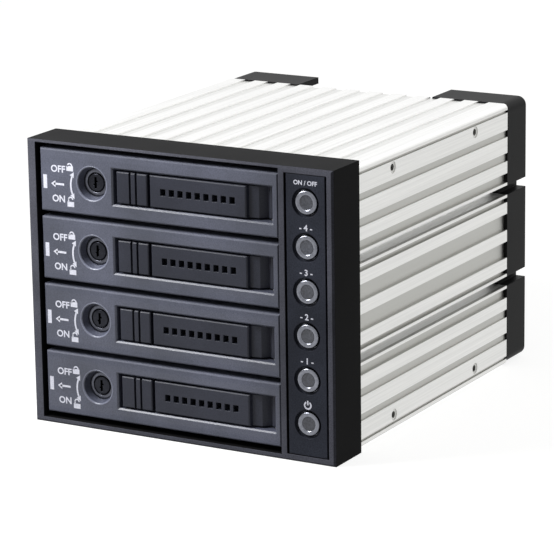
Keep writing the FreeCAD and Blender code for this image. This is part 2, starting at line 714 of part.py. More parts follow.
def tray_sled():
    body = new_body("tray_sled_1", "tray_first")
    profile = front_sketch(body, "tray_back")
    outline(profile, [
        ("sled_left", "floor_bottom"),
        ("sled_right", "floor_bottom"),
        ("sled_right", "sled_wall_top"),
        ("sled_right - sled_wall", "sled_wall_top"),
        ("sled_right - sled_wall", "floor_top"),
        ("sled_left + sled_wall", "floor_top"),
        ("sled_left + sled_wall", "sled_wall_top"),
        ("sled_left", "sled_wall_top"),
    ])
    pad(body, profile, "sled_length", reverse=True)
    lugs = front_sketch(body, "tray_back")
    rectangle(lugs, "lug_left", "sled_left + sled_wall", "lug_bottom", "lug_top")
    rectangle(lugs, "sled_right - sled_wall", "lug_right", "lug_bottom", "lug_top")
    pad(body, lugs, "sled_wall", reverse=True)
    box_pocket(body, "sled_left", "sled_right", "lug_top", "sled_wall_top",
               "tray_back", "tray_back + notch_length")
    window = top_sketch(body, "floor_top")
    rectangle(window, "sled_left + sled_wall + floor_rim", "sled_right - sled_wall - floor_rim",
              "tray_back + floor_bar", "sled_end - floor_bar")
    pocket(body, window, "sled_floor")
    runners = front_sketch(body, "tray_back + runner_start")
    low = "runner_rise - runner_height / 2"
    high = "runner_rise + runner_height / 2"
    rectangle(runners, "runner_left", "sled_left", low, high)
    rectangle(runners, "sled_right", "runner_right", low, high)
    pad(body, runners, "sled_length - runner_start", reverse=True)
    pin_holes(body, tray_screw_places(), "tray_screw_radius + fit_gap", "tray_back", "lug_back")
    drive_holes = side_sketch(body, "sled_right")
    for along in ("drive_end - drive_hole_first", "drive_end - drive_hole_first - drive_hole_pitch"):
        circle(drive_holes, along, "floor_top + drive_hole_height", "drive_hole_radius")
    pocket(body, drive_holes, "sled_right - sled_left")
    return body


def lever():
    body = new_body("lever_1", "tray_first")
    profile = top_sketch(body)
    outline(profile, [
        ("lever_left", "lever_front"),
        ("lever_plate_right", "lever_front"),
        ("lever_plate_right + lever_step_run", "lever_low"),
        ("pivot_x - neck_run", "lever_low + neck_fall"),
        ("pivot_x - neck_side", "pivot_depth - neck_back"),
        ("pivot_x - neck_back", "pivot_depth + neck_side"),
        ("lever_plate_right", "lever_back"),
        ("lever_left", "lever_back"),
    ])
    plate = pad(body, profile, "2 * lever_rise", middle=True)
    face = number("lever_front") + 0.01
    chamfer(body, plate, "lever_chamfer", lambda box: box.YMax < face)
    knuckle = top_sketch(body)
    circle(knuckle, "pivot_x", "pivot_depth", "knuckle_radius")
    pad(body, knuckle, "2 * lever_rise", middle=True)
    hook = top_sketch(body)
    outline(hook, [
        ("pivot_x", "pivot_depth - hook_width / 2"),
        ("pivot_x + hook_length", "pivot_depth - hook_width / 2 - hook_tilt"),
        ("pivot_x + hook_length", "pivot_depth + hook_width / 2 - hook_tilt"),
        ("pivot_x", "pivot_depth + hook_width / 2"),
    ])
    pad(body, hook, "hook_height", middle=True)
    bore = top_sketch(body)
    circle(bore, "pivot_x", "pivot_depth", "pin_radius + pin_gap")
    pocket(body, bore, "2 * lever_rise", middle=True)
    vent = box_pocket(body, "vent_first - vent_width / 2", "vent_first + vent_width / 2",
                      "-vent_height / 2", "vent_height / 2", "lever_front", "lever_back")
    rows(body, vent, "X_Axis", "vent_pitch", "vents")
    return body


def lever_pin():
    body = new_body("lever_pin_1", "tray_first")
    pin = top_sketch(body)
    circle(pin, "pivot_x", "pivot_depth", "pin_radius")
    pad(body, pin, "recess_height + 2 * pin_bite", middle=True)
    return body


def latch():
    body = new_body("latch_1", "tray_first")
    block = box_pad(body, "latch_left", "latch_right", "-latch_rise", "latch_rise",
                    "latch_front", "latch_back")
    face = number("latch_front") + 0.01
    chamfer(body, block, "lever_chamfer", lambda box: box.YMax < face)
    box_pad(body, "latch_left", "latch_right", "-latch_rise - latch_rail",
            "latch_rise + latch_rail", "rail_front", "rail_back")
    grooves = front_sketch(body, "latch_front")
    for place in ("latch_left + grip_inset", "latch_left + grip_inset + grip_pitch"):
        rectangle(grooves, f"{place} - grip_groove / 2", f"{place} + grip_groove / 2",
                  "-latch_rise", "latch_rise")
    pocket(body, grooves, "grip_depth")
    return body


def lock_barrel():
    body = new_body("lock_barrel_1", "tray_first")
    turned(body, [
        ("core_radius + core_gap", "dish_back"),
        ("flange_radius", "dish_back"),
        ("flange_radius", "flange_seat"),
        ("barrel_radius", "flange_seat"),
        ("barrel_radius", "barrel_back"),
        ("core_radius + core_gap", "barrel_back"),
    ], "lock_x", "lock_rise")
    return body


def lock_core():
    body = new_body("lock_core_1", "tray_first")
    turned(body, [
        ("0", "dish_back - core_proud"),
        ("core_radius", "dish_back - core_proud"),
        ("core_radius", "barrel_back"),
        ("0", "barrel_back"),
    ], "lock_x", "lock_rise")
    box_pocket(body, "lock_x - keyway_width / 2", "lock_x + keyway_width / 2",
               "lock_rise - keyway_height / 2", "lock_rise + keyway_height / 2",
               "dish_back - core_proud", "dish_back - core_proud + keyway_depth")
    return body


def screws(label, places, seat, head, cap, shank, bite, from_front, height="0"):
    """Screws that share one node. A head sits on its seat, and the shank runs on from there."""
    body = new_body(label, height)
    body.AllowCompound = True
    if from_front:
        posts(body, places, head, f"{seat} - ({cap})", seat)
        posts(body, places, shank, seat, f"{seat} + {bite}")
    else:
        posts(body, places, head, seat, f"{seat} + {cap}")
        posts(body, places, shank, f"{seat} - ({bite})", seat)
    return body


# The guides on each side of the drives.

def guide_rail():
    body = new_body("guide_rail_left", "middle")
    rise = "roof_inside - guide_clear"
    box_pad(body, "-slot_inside", "guide_face", f"-({rise})", rise, "bezel_depth", "guide_back")
    runner = "tray_first + runner_rise - middle"
    groove = box_pocket(body, "-slot_inside + guide_web", "guide_face",
                        f"{runner} - guide_groove / 2", f"{runner} + guide_groove / 2",
                        "bezel_depth", "guide_back")
    rows(body, groove, "Z_Axis", "tray_pitch", "trays")
    return body


def partition_wall():
    body = new_body("partition_wall", "middle")
    far = "partition_face + partition_thickness"
    box_pad(body, "partition_face", far, "-roof_inside", "roof_inside",
            "bezel_depth", "guide_back")
    flanges = front_sketch(body, "bezel_depth")
    edge = f"{far} + partition_flange"
    rectangle(flanges, far, edge, "-roof_inside", "-roof_inside + partition_flange_thickness")
    rectangle(flanges, far, edge, "roof_inside - partition_flange_thickness", "roof_inside")
    pad(body, flanges, "guide_back - bezel_depth", reverse=True)
    runner = "tray_first + runner_rise - middle"
    groove = box_pocket(body, "partition_face", "runner_right + slide_gap",
                        f"{runner} - guide_groove / 2", f"{runner} + guide_groove / 2",
                        "bezel_depth", "guide_back")
    rows(body, groove, "Z_Axis", "tray_pitch", "trays")
    return body


# The backplane: a board with air windows, drive connectors in front and the data ports
# and power sockets behind, and the moulded rear cap that carries it and the fan.

FIRST_TRAY = "tray_first - middle"


def board_places():
    return [(f"{side} * board_boss_x", f"{up} * board_boss_rise") for side in SIDES for up in SIDES]


def backplane_board():
    body = new_body("backplane_board", "middle")
    box_pad(body, "-backplane_half", "backplane_half", "-backplane_rise", "backplane_rise",
            "backplane_front", "backplane_back")
    window = box_pocket(body, "drive_left + air_left_margin", "drive_right - air_right_margin",
                        f"{FIRST_TRAY} + air_bottom", f"{FIRST_TRAY} + air_top",
                        "backplane_front", "backplane_back")
    rows(body, window, "Z_Axis", "tray_pitch", "trays")
    pin_holes(body, board_places(), "screw_hole", "backplane_front", "backplane_back")
    return body


def drive_connectors():
    body = new_body("drive_connectors", "middle")
    body.AllowCompound = True
    low = f"{FIRST_TRAY} + drive_bottom + connector_drop"
    left = "connector_x - connector_width / 2"
    right = "connector_x + connector_width / 2"
    block = box_pad(body, left, right, low, f"{low} + connector_height",
                    "connector_front", "backplane_front")
    rows(body, block, "Z_Axis", "tray_pitch", "trays")
    centre = f"{low} + connector_height / 2"
    slot = box_pocket(body, f"{left} + connector_slot", f"{right} - connector_slot",
                      f"{centre} - connector_slot / 2", f"{centre} + connector_slot / 2",
                      "connector_front", "connector_front + connector_slot_depth")
    rows(body, slot, "Z_Axis", "tray_pitch", "trays")
    return body


def data_ports():
    body = new_body("data_ports", "middle")
    body.AllowCompound = True
    end = "backplane_back + port_depth"
    block = box_pad(body, "port_x - port_width / 2", "port_x + port_width / 2",
                    f"{FIRST_TRAY} - port_height / 2", f"{FIRST_TRAY} + port_height / 2",
                    "backplane_back", end)
    rows(body, block, "Z_Axis", "tray_pitch", "trays")
    cavity = box_pocket(body, "port_x - port_width / 2 + port_wall",
                        "port_x + port_width / 2 - port_wall",
                        f"{FIRST_TRAY} - port_height / 2 + port_wall",
                        f"{FIRST_TRAY} + port_height / 2 - port_wall",
                        f"{end} - port_bite", end)
    rows(body, cavity, "Z_Axis", "tray_pitch", "trays")
    return body


def power_sockets():
    body = new_body("power_sockets", "middle")
    body.AllowCompound = True
    end = "backplane_back + power_depth"
    blocks = front_sketch(body, "backplane_back")
    pins = front_sketch(body, f"{end} - port_bite")
    for side in SIDES:
        centre = f"{side} * power_spread"
        rectangle(blocks, "power_x - power_width / 2", "power_x + power_width / 2",
                  f"{centre} - power_height / 2", f"{centre} + power_height / 2")
        for pin in range(SIZES["power_pins"]):
            rise = f"{centre} + power_pin_pitch * ({pin} - (power_pins - 1) / 2)"
            circle(pins, "power_x", rise, "power_pin_bore")
    pad(body, blocks, "power_depth", reverse=True)
    pocket(body, pins, "port_bite")
    return body


def rear_cap():
    body = new_body("rear_cap", "middle")
    block = box_pad(body, "-body_half", "body_half", "-body_rise", "body_rise",
                    "panel_end", "cap_end")
    depth = number("cap_depth") - 0.01
    fillet(body, block, "cap_corner", lambda box: box.YLength > depth)
    inside = "body_half - cap_wall"
    shell = "body_half - cap_slot_depth - cap_slot_wall"
    reach = "slot_half + cap_slot_wall"
    rise = "body_rise - cap_wall"
    right = [(inside, f"-({rise})")]
    for side in ("-1", "1"):
        low = f"{side} * slot_rise - ({reach})"
        high = f"{side} * slot_rise + ({reach})"
        right += [(inside, low), (shell, low), (shell, high), (inside, high)]
    right.append((inside, rise))
    left = [(f"-({across})", up) for across, up in reversed(right)]
    hollow = front_sketch(body, "cap_floor")
    outline(hollow, right + left)
    pocket(body, hollow, "cap_end - cap_floor")
    slots = front_sketch(body, "panel_end")
    for up in SIDES:
        low = f"{up} * slot_rise - slot_half"
        high = f"{up} * slot_rise + slot_half"
        rectangle(slots, "body_half - cap_slot_depth", "body_half", low, high)
        rectangle(slots, "-body_half", "-body_half + cap_slot_depth", low, high)
    pocket(body, slots, "cap_depth")
    box_pocket(body, "cap_notch_inset - body_half", "body_half - cap_notch_inset",
               "body_rise - cap_notch_depth", "body_rise", "panel_end", "cap_end")
    posts(body, board_places(), "board_boss_radius", "backplane_back", "panel_end")
    pin_holes(body, board_places(), "port_bore", "backplane_back", "cap_floor")
    pin_holes(body, screw_places("0"), "screw_hole", "panel_end", "cap_floor")
    window = front_sketch(body, "panel_end")
    rectangle(window, "port_x - port_width / 2 - window_gap", "port_x + port_width / 2 + window_gap",
              f"{FIRST_TRAY} - port_height / 2 - window_gap",
              f"{FIRST_TRAY} + tray_pitch * (trays - 1) + port_height / 2 + window_gap")
    rectangle(window, "power_x - power_width / 2 - window_gap",
              "power_x + power_width / 2 + window_gap",
              "-power_spread - power_height / 2 - window_gap",
              "power_spread + power_height / 2 + window_gap")
    circle(window, "drive_centre", "0", "fan_bore")
    for side in SIDES:
        for up in SIDES:
            circle(window, f"drive_centre + {side} * fan_hole_half", f"{up} * fan_hole_half",
                   "fan_screw_radius + fit_gap")
    pocket(body, window, "cap_plate")
    return body


# The fan, about its own axis.

def fan_frame():
    body = new_body("fan_frame", "middle")
    body.setExpression("Placement.Base.x", bound("drive_centre"))
    block = box_pad(body, "-fan_size / 2", "fan_size / 2", "-fan_size / 2", "fan_size / 2",
                    "cap_floor", "fan_back")
    depth = number("fan_depth") - 0.01
    fillet(body, block, "fan_corner", lambda box: box.YLength > depth)
    round_pocket(body, "0", "0", "fan_bore", "cap_floor", "fan_back")
    corners = [(f"{side} * fan_hole_half", f"{up} * fan_hole_half")
               for side in SIDES for up in SIDES]
    pin_holes(body, corners, "fan_hole_radius", "cap_floor", "fan_back")
    strut = box_pad(body, "0", "fan_bore + fan_rim / 2", "-strut_width / 2",
                    "strut_width / 2", "strut_front", "fan_back")
    spin(body, strut, "4")
    round_pad(body, "0", "0", "motor_radius", "strut_front", "fan_back")
    round_pocket(body, "0", "0", "shaft_radius + shaft_gap", "strut_front", "fan_back")
    return body


def spin(body, feature, count):
    """The feature repeated evenly about the body's own Y axis."""
    pattern = body.newObject("PartDesign::PolarPattern", body.Name + "_spin")
    line = [item for item in body.Origin.OriginFeatures if item.Role == "Y_Axis"][0]
    pattern.Originals = [feature]
    pattern.Axis = (line, [""])
    pattern.Angle = 360
    pattern.setExpression("Occurrences", bound(count))
    body.Tip = pattern
    return pattern


def fan_rotor():
    body = new_body("fan_rotor", "middle")
    body.setExpression("Placement.Base.x", bound("drive_centre"))
    turned(body, [
        ("0", "hub_front"),
        ("hub_radius - hub_round", "hub_front"),
        ("hub_radius", "hub_front + hub_round"),
        ("hub_radius", "hub_back"),
        ("shaft_radius", "hub_back"),
        ("shaft_radius", "hub_back + shaft_length"),
        ("0", "hub_back + shaft_length"),
    ])
    sections = []
    for place, chord in (("hub_radius - hub_round", "root_chord"),
                                ("fan_bore - blade_gap", "tip_chord")):
        along = (f"{chord} / 2 * sin(blade_pitch)", f"{chord} / 2 * cos(blade_pitch)")
        thick = (f"blade_thickness / 2 * cos(blade_pitch)", f"-blade_thickness / 2 * sin(blade_pitch)")
        centre = "(hub_front + hub_back) / 2"
        section = side_sketch(body, place)
        outline(section, [
            (f"{centre} + {a} * {along[0]} + {b} * {thick[0]}", f"{a} * {along[1]} + {b} * {thick[1]}")
            for a, b in (("1", "1"), ("-1", "1"), ("-1", "-1"), ("1", "-1"))
        ])
        sections.append(section)
    blade = body.newObject("PartDesign::AdditiveLoft", "blade")
    blade.Profile = sections[0]
    blade.Sections = [sections[1]]
    spin(body, blade, "blades")
    return body


copy_of(side_panel(), "side_panel_left", "middle", turned=True)
copy_of(top_panel(), "bottom_panel", "middle", turned=True)
front_bezel()
control_panel()
control_board()
button_switches()
guide_rail()
partition_wall()
backplane_board()
drive_connectors()
data_ports()
power_sockets()
rear_cap()
fan_frame()
fan_rotor()

first_button = button()
for count in range(1, SIZES["buttons"]):
    copy_of(first_button, f"button_{count + 1}", f"button_first + button_pitch * {count}")

tray_pieces = [tray_front(), tray_sled(), lever(), lever_pin(), latch(), lock_barrel(), lock_core()]
tray_pieces.append(screws("tray_screws_1", tray_screw_places(), "lug_back", "tray_screw_head",
                          "tray_screw_cap", "tray_screw_radius",
                          "sled_wall + tray_screw_bite", False, "tray_first"))
for count in range(1, SIZES["trays"]):
    for piece in tray_pieces:
        name = piece.Label.replace("_1", f"_{count + 1}")
        copy_of(piece, name, f"tray_first + tray_pitch * {count}")

screws("bezel_screws", screw_places("middle"), "back_wall", "screw_head", "screw_head_depth",
       "screw_shank", "bezel_back_wall + screw_bite", True)
screws("cap_screws", screw_places("middle"), "cap_floor", "screw_head", "screw_head_depth",
       "screw_shank", "cap_plate + screw_bite", False)
screws("board_screws", board_places(), "backplane_front", "screw_head", "screw_head_depth",
       "screw_shank", "board_thickness + board_screw_bite", True, "middle")
screws("control_board_screws", standoff_places(), "control_board_front", "screw_head",
       "screw_head_depth", "screw_shank", "board_thickness + board_screw_bite", True)
fan_corners = [(f"drive_centre + {side} * fan_hole_half", f"{up} * fan_hole_half")
               for side in SIDES for up in SIDES]
screws("fan_screws", fan_corners, "fan_back", "fan_screw_head", "fan_screw_cap",
       "fan_screw_radius", "fan_depth + cap_plate", False, "middle")

doc.recompute()

failed = [item.Name for item in doc.Objects if {"Invalid", "Error"} & set(item.State)]
if failed:
    raise SystemExit("failed objects: " + ", ".join(failed))
for part in parts:
    if part.Shape.isNull() or not part.Shape.isValid() or not part.Shape.Solids:
        raise SystemExit("bad shape: " + part.Label)

os.makedirs("parts", exist_ok=True)
for part in parts:
    part.Shape.exportStep(f"parts/{part.Label}.step")
    print(part.Label, len(part.Shape.Solids), round(part.Shape.Volume, 1))
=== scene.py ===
import math

import bmesh
import bpy
from mathutils import Matrix, Vector


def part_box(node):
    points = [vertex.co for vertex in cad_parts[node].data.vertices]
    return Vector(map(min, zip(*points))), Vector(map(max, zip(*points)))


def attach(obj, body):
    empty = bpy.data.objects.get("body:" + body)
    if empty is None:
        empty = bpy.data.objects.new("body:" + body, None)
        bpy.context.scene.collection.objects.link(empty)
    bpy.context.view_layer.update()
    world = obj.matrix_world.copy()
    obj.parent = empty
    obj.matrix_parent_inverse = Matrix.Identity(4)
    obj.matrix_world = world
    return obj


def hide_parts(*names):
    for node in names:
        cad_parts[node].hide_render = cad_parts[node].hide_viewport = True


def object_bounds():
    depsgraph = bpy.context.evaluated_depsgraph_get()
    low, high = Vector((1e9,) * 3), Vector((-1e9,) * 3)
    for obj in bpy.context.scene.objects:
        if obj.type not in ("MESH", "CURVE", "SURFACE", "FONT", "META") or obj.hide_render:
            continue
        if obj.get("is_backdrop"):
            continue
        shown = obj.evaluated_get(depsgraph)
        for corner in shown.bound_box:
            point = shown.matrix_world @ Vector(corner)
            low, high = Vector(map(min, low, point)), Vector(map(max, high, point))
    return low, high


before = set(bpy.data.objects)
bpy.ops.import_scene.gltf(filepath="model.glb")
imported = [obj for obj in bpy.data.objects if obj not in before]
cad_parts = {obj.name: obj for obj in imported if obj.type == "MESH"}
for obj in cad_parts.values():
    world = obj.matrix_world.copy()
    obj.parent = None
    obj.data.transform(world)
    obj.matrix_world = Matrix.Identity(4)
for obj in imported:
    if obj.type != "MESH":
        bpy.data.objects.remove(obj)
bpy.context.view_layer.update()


# Studio. The cage stands on a sweep of white paper in a white room, which the bare metal
# mirrors. A small soft box from the front left lights the plastic, and a large dim one from
# behind draws a light edge along the roof.

scene = bpy.context.scene
scene.view_settings.view_transform = "Standard"

CAMERA_TURN = math.radians(29.64)
CAMERA_TILT = math.radians(14.55)
CAMERA_ROLL = math.radians(-0.84)
CAMERA_DISTANCE = 1.342
CAMERA_TARGET = Vector((0.01378, -0.0341, 0.06086))
LENS_LENGTH = 200.14
SENSOR_WIDTH = 36

lens = bpy.data.cameras.new("studio_camera")
lens.lens = LENS_LENGTH
lens.sensor_width = SENSOR_WIDTH
camera = bpy.data.objects.new("studio_camera", lens)
scene.collection.objects.link(camera)
scene.camera = camera
backwards = Vector((math.sin(CAMERA_TURN) * math.cos(CAMERA_TILT),
                    -math.cos(CAMERA_TURN) * math.cos(CAMERA_TILT),
                    math.sin(CAMERA_TILT)))
level = backwards.cross(Vector((0, 0, -1))).normalized()
upright = backwards.cross(level)
rightwards = level * math.cos(CAMERA_ROLL) + upright * math.sin(CAMERA_ROLL)
upwards = upright * math.cos(CAMERA_ROLL) - level * math.sin(CAMERA_ROLL)
camera.matrix_world = Matrix.Translation(CAMERA_TARGET + backwards * CAMERA_DISTANCE) @ Matrix(
    (rightwards, upwards, backwards)).transposed().to_4x4()


def add_node(tree, kind, feeds=(), **settings):
    """Adds a shader node with its settings. Each feed is an input's name or number, and the
    socket that is linked to it or the value that it holds."""
    made = tree.nodes.new(kind)
    for name, value in settings.items():
        setattr(made, name, value)
    for name, feed in dict(feeds).items():
        if isinstance(feed, bpy.types.NodeSocket):
            tree.links.new(feed, made.inputs[name])
        else:
            made.inputs[name].default_value = feed
    return made


def linear(code):
    """A sRGB hex colour as linear red, green, blue and alpha."""
    shares = [int(code[i:i + 2], 16) / 255 for i in (1, 3, 5)]
    return tuple(c / 12.92 if c <= 0.04045 else ((c + 0.055) / 1.055) ** 2.4
                 for c in shares) + (1.0,)


def new_material(name):
    """An empty material and its node tree."""
    made = bpy.data.materials.new(name)
    made.use_nodes = True
    made.node_tree.nodes.clear()
    return made, made.node_tree


# The room is white to the camera and in reflections, and lights the rest only softly.
ROOM_LIGHT = 0.27
world = bpy.data.worlds.new("white_room")
scene.world = world
world.use_nodes = True
tree = world.node_tree
tree.nodes.clear()
ray = add_node(tree, "ShaderNodeLightPath")
seen = add_node(tree, "ShaderNodeMath", {0: ray.outputs["Is Camera Ray"],
                                         1: ray.outputs["Is Glossy Ray"]}, operation="MAXIMUM")
brightness = add_node(tree, "ShaderNodeMapRange", {"Value": seen.outputs[0],
                                                   "To Min": ROOM_LIGHT, "To Max": 1.0})
white = add_node(tree, "ShaderNodeBackground", {"Color": linear("#FFFFFF"),
                                                "Strength": brightness.outputs[0]})
add_node(tree, "ShaderNodeOutputWorld", {"Surface": white.outputs[0]})

# Matt paper, burnt out to white where the camera sees it, as behind a product on a sweep.
PAPER_GLOW = 0.86
paper, tree = new_material("seamless_paper")
ray = add_node(tree, "ShaderNodeLightPath")
seen = add_node(tree, "ShaderNodeMath", {0: ray.outputs["Is Camera Ray"],
                                         1: ray.outputs["Is Glossy Ray"]}, operation="MAXIMUM")
glow = add_node(tree, "ShaderNodeMath", {0: seen.outputs[0], 1: PAPER_GLOW},
                operation="MULTIPLY")
surface = add_node(tree, "ShaderNodeBsdfPrincipled",
                   {"Base Color": linear("#8C8C8A"), "Roughness": 0.9,
                    "Emission Color": linear("#FFFFFF"), "Emission Strength": glow.outputs[0]})
add_node(tree, "ShaderNodeOutputMaterial", {"Surface": surface.outputs[0]})

FLOOR_SIZE = 4.0
floor_mesh = bpy.data.meshes.new("studio_floor")
shape = bmesh.new()
bmesh.ops.create_grid(shape, x_segments=4, y_segments=4, size=FLOOR_SIZE)
shape.to_mesh(floor_mesh)
shape.free()
floor = bpy.data.objects.new("studio_floor", floor_mesh)
floor_mesh.materials.append(paper)
scene.collection.objects.link(floor)
floor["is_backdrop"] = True

# Each lamp's name, where it stands, what it points at, its side in metres and its watts.
LAMPS = (("front_soft_box", (-0.22, -0.26, 0.34), (-0.04, -0.09, 0.1), 0.18, 2.5),
         ("back_soft_box", (0.3, 1.1, 0.9), (0.0, 0.09, 0.06), 1.4, 3.0))
for name, place, aim, side, watts in LAMPS:
    lamp = bpy.data.lights.new(name, "AREA")
    lamp.shape = "SQUARE"
    lamp.size = side
    lamp.energy = watts
    stand = bpy.data.objects.new(name, lamp)
    stand.location = place
    stand.rotation_euler = (Vector(aim) - Vector(place)).to_track_quat("-Z", "Y").to_euler()
    scene.collection.objects.link(stand)


# Ribbed case. Four aluminium extrusions, cut to length, blasted and clear anodised, slide
# into each other along their edges and make the tube that holds everything.

def dress(node, material):
    """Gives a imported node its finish."""
    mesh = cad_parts[node].data
    mesh.materials.clear()
    mesh.materials.append(material)


# Clear anodised aluminium is pale and soft, and a little streaky along the way it left the
# die. The channels are painted grey, painted shade for their hollows, the crowns of the ribs
# are lighter, and the slot walls and the roof are painted lightest, painted light.
# Die lines are about 0.05 mm apart and blasted pits 0.1 mm wide, too fine to show, so the
# lines are drawn 0.6 mm apart and 80 mm long, and the pits 0.4 mm wide.
DIE_LINE = 0.0006
DIE_LINE_LENGTH = 0.08
BLASTED_PIT = 0.0004
PIT_DEPTH = 0.00002
# How far in from the side, or down from the roof, each painted lighter tone starts and is full.
RIB_CROWN = (0.0006, 0.0002)
SLOT_WALL = (0.0018, 0.0022)
ROOF = (0.0016, 0.0004)
BELOW_ROOF = (0.004, 0.005)
# The grey of the channels is painted shade.
CHANNEL_PAINTED_SHADE = "#B5B5B1"
STREAK_LOW, STREAK_HIGH = 0.3, 0.7
SMOOTHEST, ROUGHEST = 0.34, 0.5
PIT_STRENGTH = 0.25

anodised_aluminium, tree = new_material("clear_anodised_aluminium")
position = add_node(tree, "ShaderNodeTexCoord")
stretch = add_node(tree, "ShaderNodeMapping",
                   {"Vector": position.outputs["Object"],
                    "Scale": (1 / DIE_LINE, 1 / DIE_LINE_LENGTH, 1 / DIE_LINE)})
streaks = add_node(tree, "ShaderNodeTexNoise", {"Vector": stretch.outputs[0], "Scale": 1.0,
                                                "Detail": 3.0, "Roughness": 0.6})
tone = add_node(tree, "ShaderNodeMapRange", {"Value": streaks.outputs["Fac"],
                                             "From Min": STREAK_LOW,
                                             "From Max": STREAK_HIGH})
axes = add_node(tree, "ShaderNodeSeparateXYZ", {"Vector": position.outputs["Object"]})
outward = add_node(tree, "ShaderNodeMath", {0: axes.outputs["X"]}, operation="ABSOLUTE")
case_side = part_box("side_panel_right")[1].x
roof_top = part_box("top_panel")[1].z
on_crown, in_slot, on_roof, below_roof = (
    add_node(tree, "ShaderNodeMapRange", {"Value": distance, "From Min": outside - start,
                                          "From Max": outside - full})
    for distance, outside, (start, full) in (
        (outward.outputs[0], case_side, RIB_CROWN), (outward.outputs[0], case_side, SLOT_WALL),
        (axes.outputs["Z"], roof_top, ROOF), (axes.outputs["Z"], roof_top, BELOW_ROOF)))
in_slot = add_node(tree, "ShaderNodeMath", {0: in_slot.outputs[0], 1: below_roof.outputs[0]},
                   operation="MULTIPLY")
# Each painted tone is laid over the painted shade of the channels where its mask is full.
painted_light_and_shade = linear(CHANNEL_PAINTED_SHADE)
# The slot walls and the roof are painted paler than the crowns, painted light.
for pale, dark, where in (("#E6E6E4", "#D8D8D6", on_crown), ("#F4F4F3", "#E8E8E7", in_slot),
                          ("#F6F6F5", "#E6E6E5", on_roof)):
    streaked = add_node(tree, "ShaderNodeMix", {"Factor": tone.outputs[0], "A": linear(dark),
                                                "B": linear(pale)}, data_type="RGBA")
    layer = add_node(tree, "ShaderNodeMix", {"Factor": where.outputs[0], "A": painted_light_and_shade,
                                             "B": streaked.outputs["Result"]},
                     data_type="RGBA")
    painted_light_and_shade = layer.outputs["Result"]
rough = add_node(tree, "ShaderNodeMapRange", {"Value": streaks.outputs["Fac"],
                                              "To Min": SMOOTHEST, "To Max": ROUGHEST})
pits = add_node(tree, "ShaderNodeTexNoise", {"Vector": position.outputs["Object"],
                                             "Scale": 1 / BLASTED_PIT, "Detail": 2.0})
height = add_node(tree, "ShaderNodeMath", {0: streaks.outputs["Fac"], 1: pits.outputs["Fac"]},
                  operation="ADD")
bump = add_node(tree, "ShaderNodeBump", {"Height": height.outputs[0], "Strength": PIT_STRENGTH,
                                         "Distance": PIT_DEPTH})
surface = add_node(tree, "ShaderNodeBsdfPrincipled",
                   {"Base Color": painted_light_and_shade, "Metallic": 1.0, "Roughness": rough.outputs[0],
                    "Normal": bump.outputs[0]})
add_node(tree, "ShaderNodeOutputMaterial", {"Surface": surface.outputs[0]})
for node in ("side_panel_left", "side_panel_right", "top_panel", "bottom_panel"):
    dress(node, anodised_aluminium)


# Bezel, control plate and rear cap. Moulded ABS, black right through. The bezel and the cap
# are screwed to the ends of the tube and close it, and the plate lies in the bezel's column.

# A spark-eroded mould leaves a grain of about 0.05 mm, which gives the plastic a fine
# sparkle. It is too fine to show, so it is drawn 0.5 mm wide, and 0.3 to 0.8 mm on the other
# mouldings, after their size and finish.
MOULD_GRAIN = 0.0005
GRAIN_DEPTH, GRAIN_STRENGTH = 0.00003, 0.35
SPECKS_FROM, SPECKS_FULL = 0.12, 0.38
# The melt's slow shifts of tone are about 33 mm wide.
FLOW_PATCH = 0.1 / 3
SHEEN_SPREAD = 0.05
# How far forward a face has to look before it takes the paler colour, painted light for the lamp
# in front.
LIT_FRONT_FROM, LIT_FRONT_FULL = -0.5, -0.8


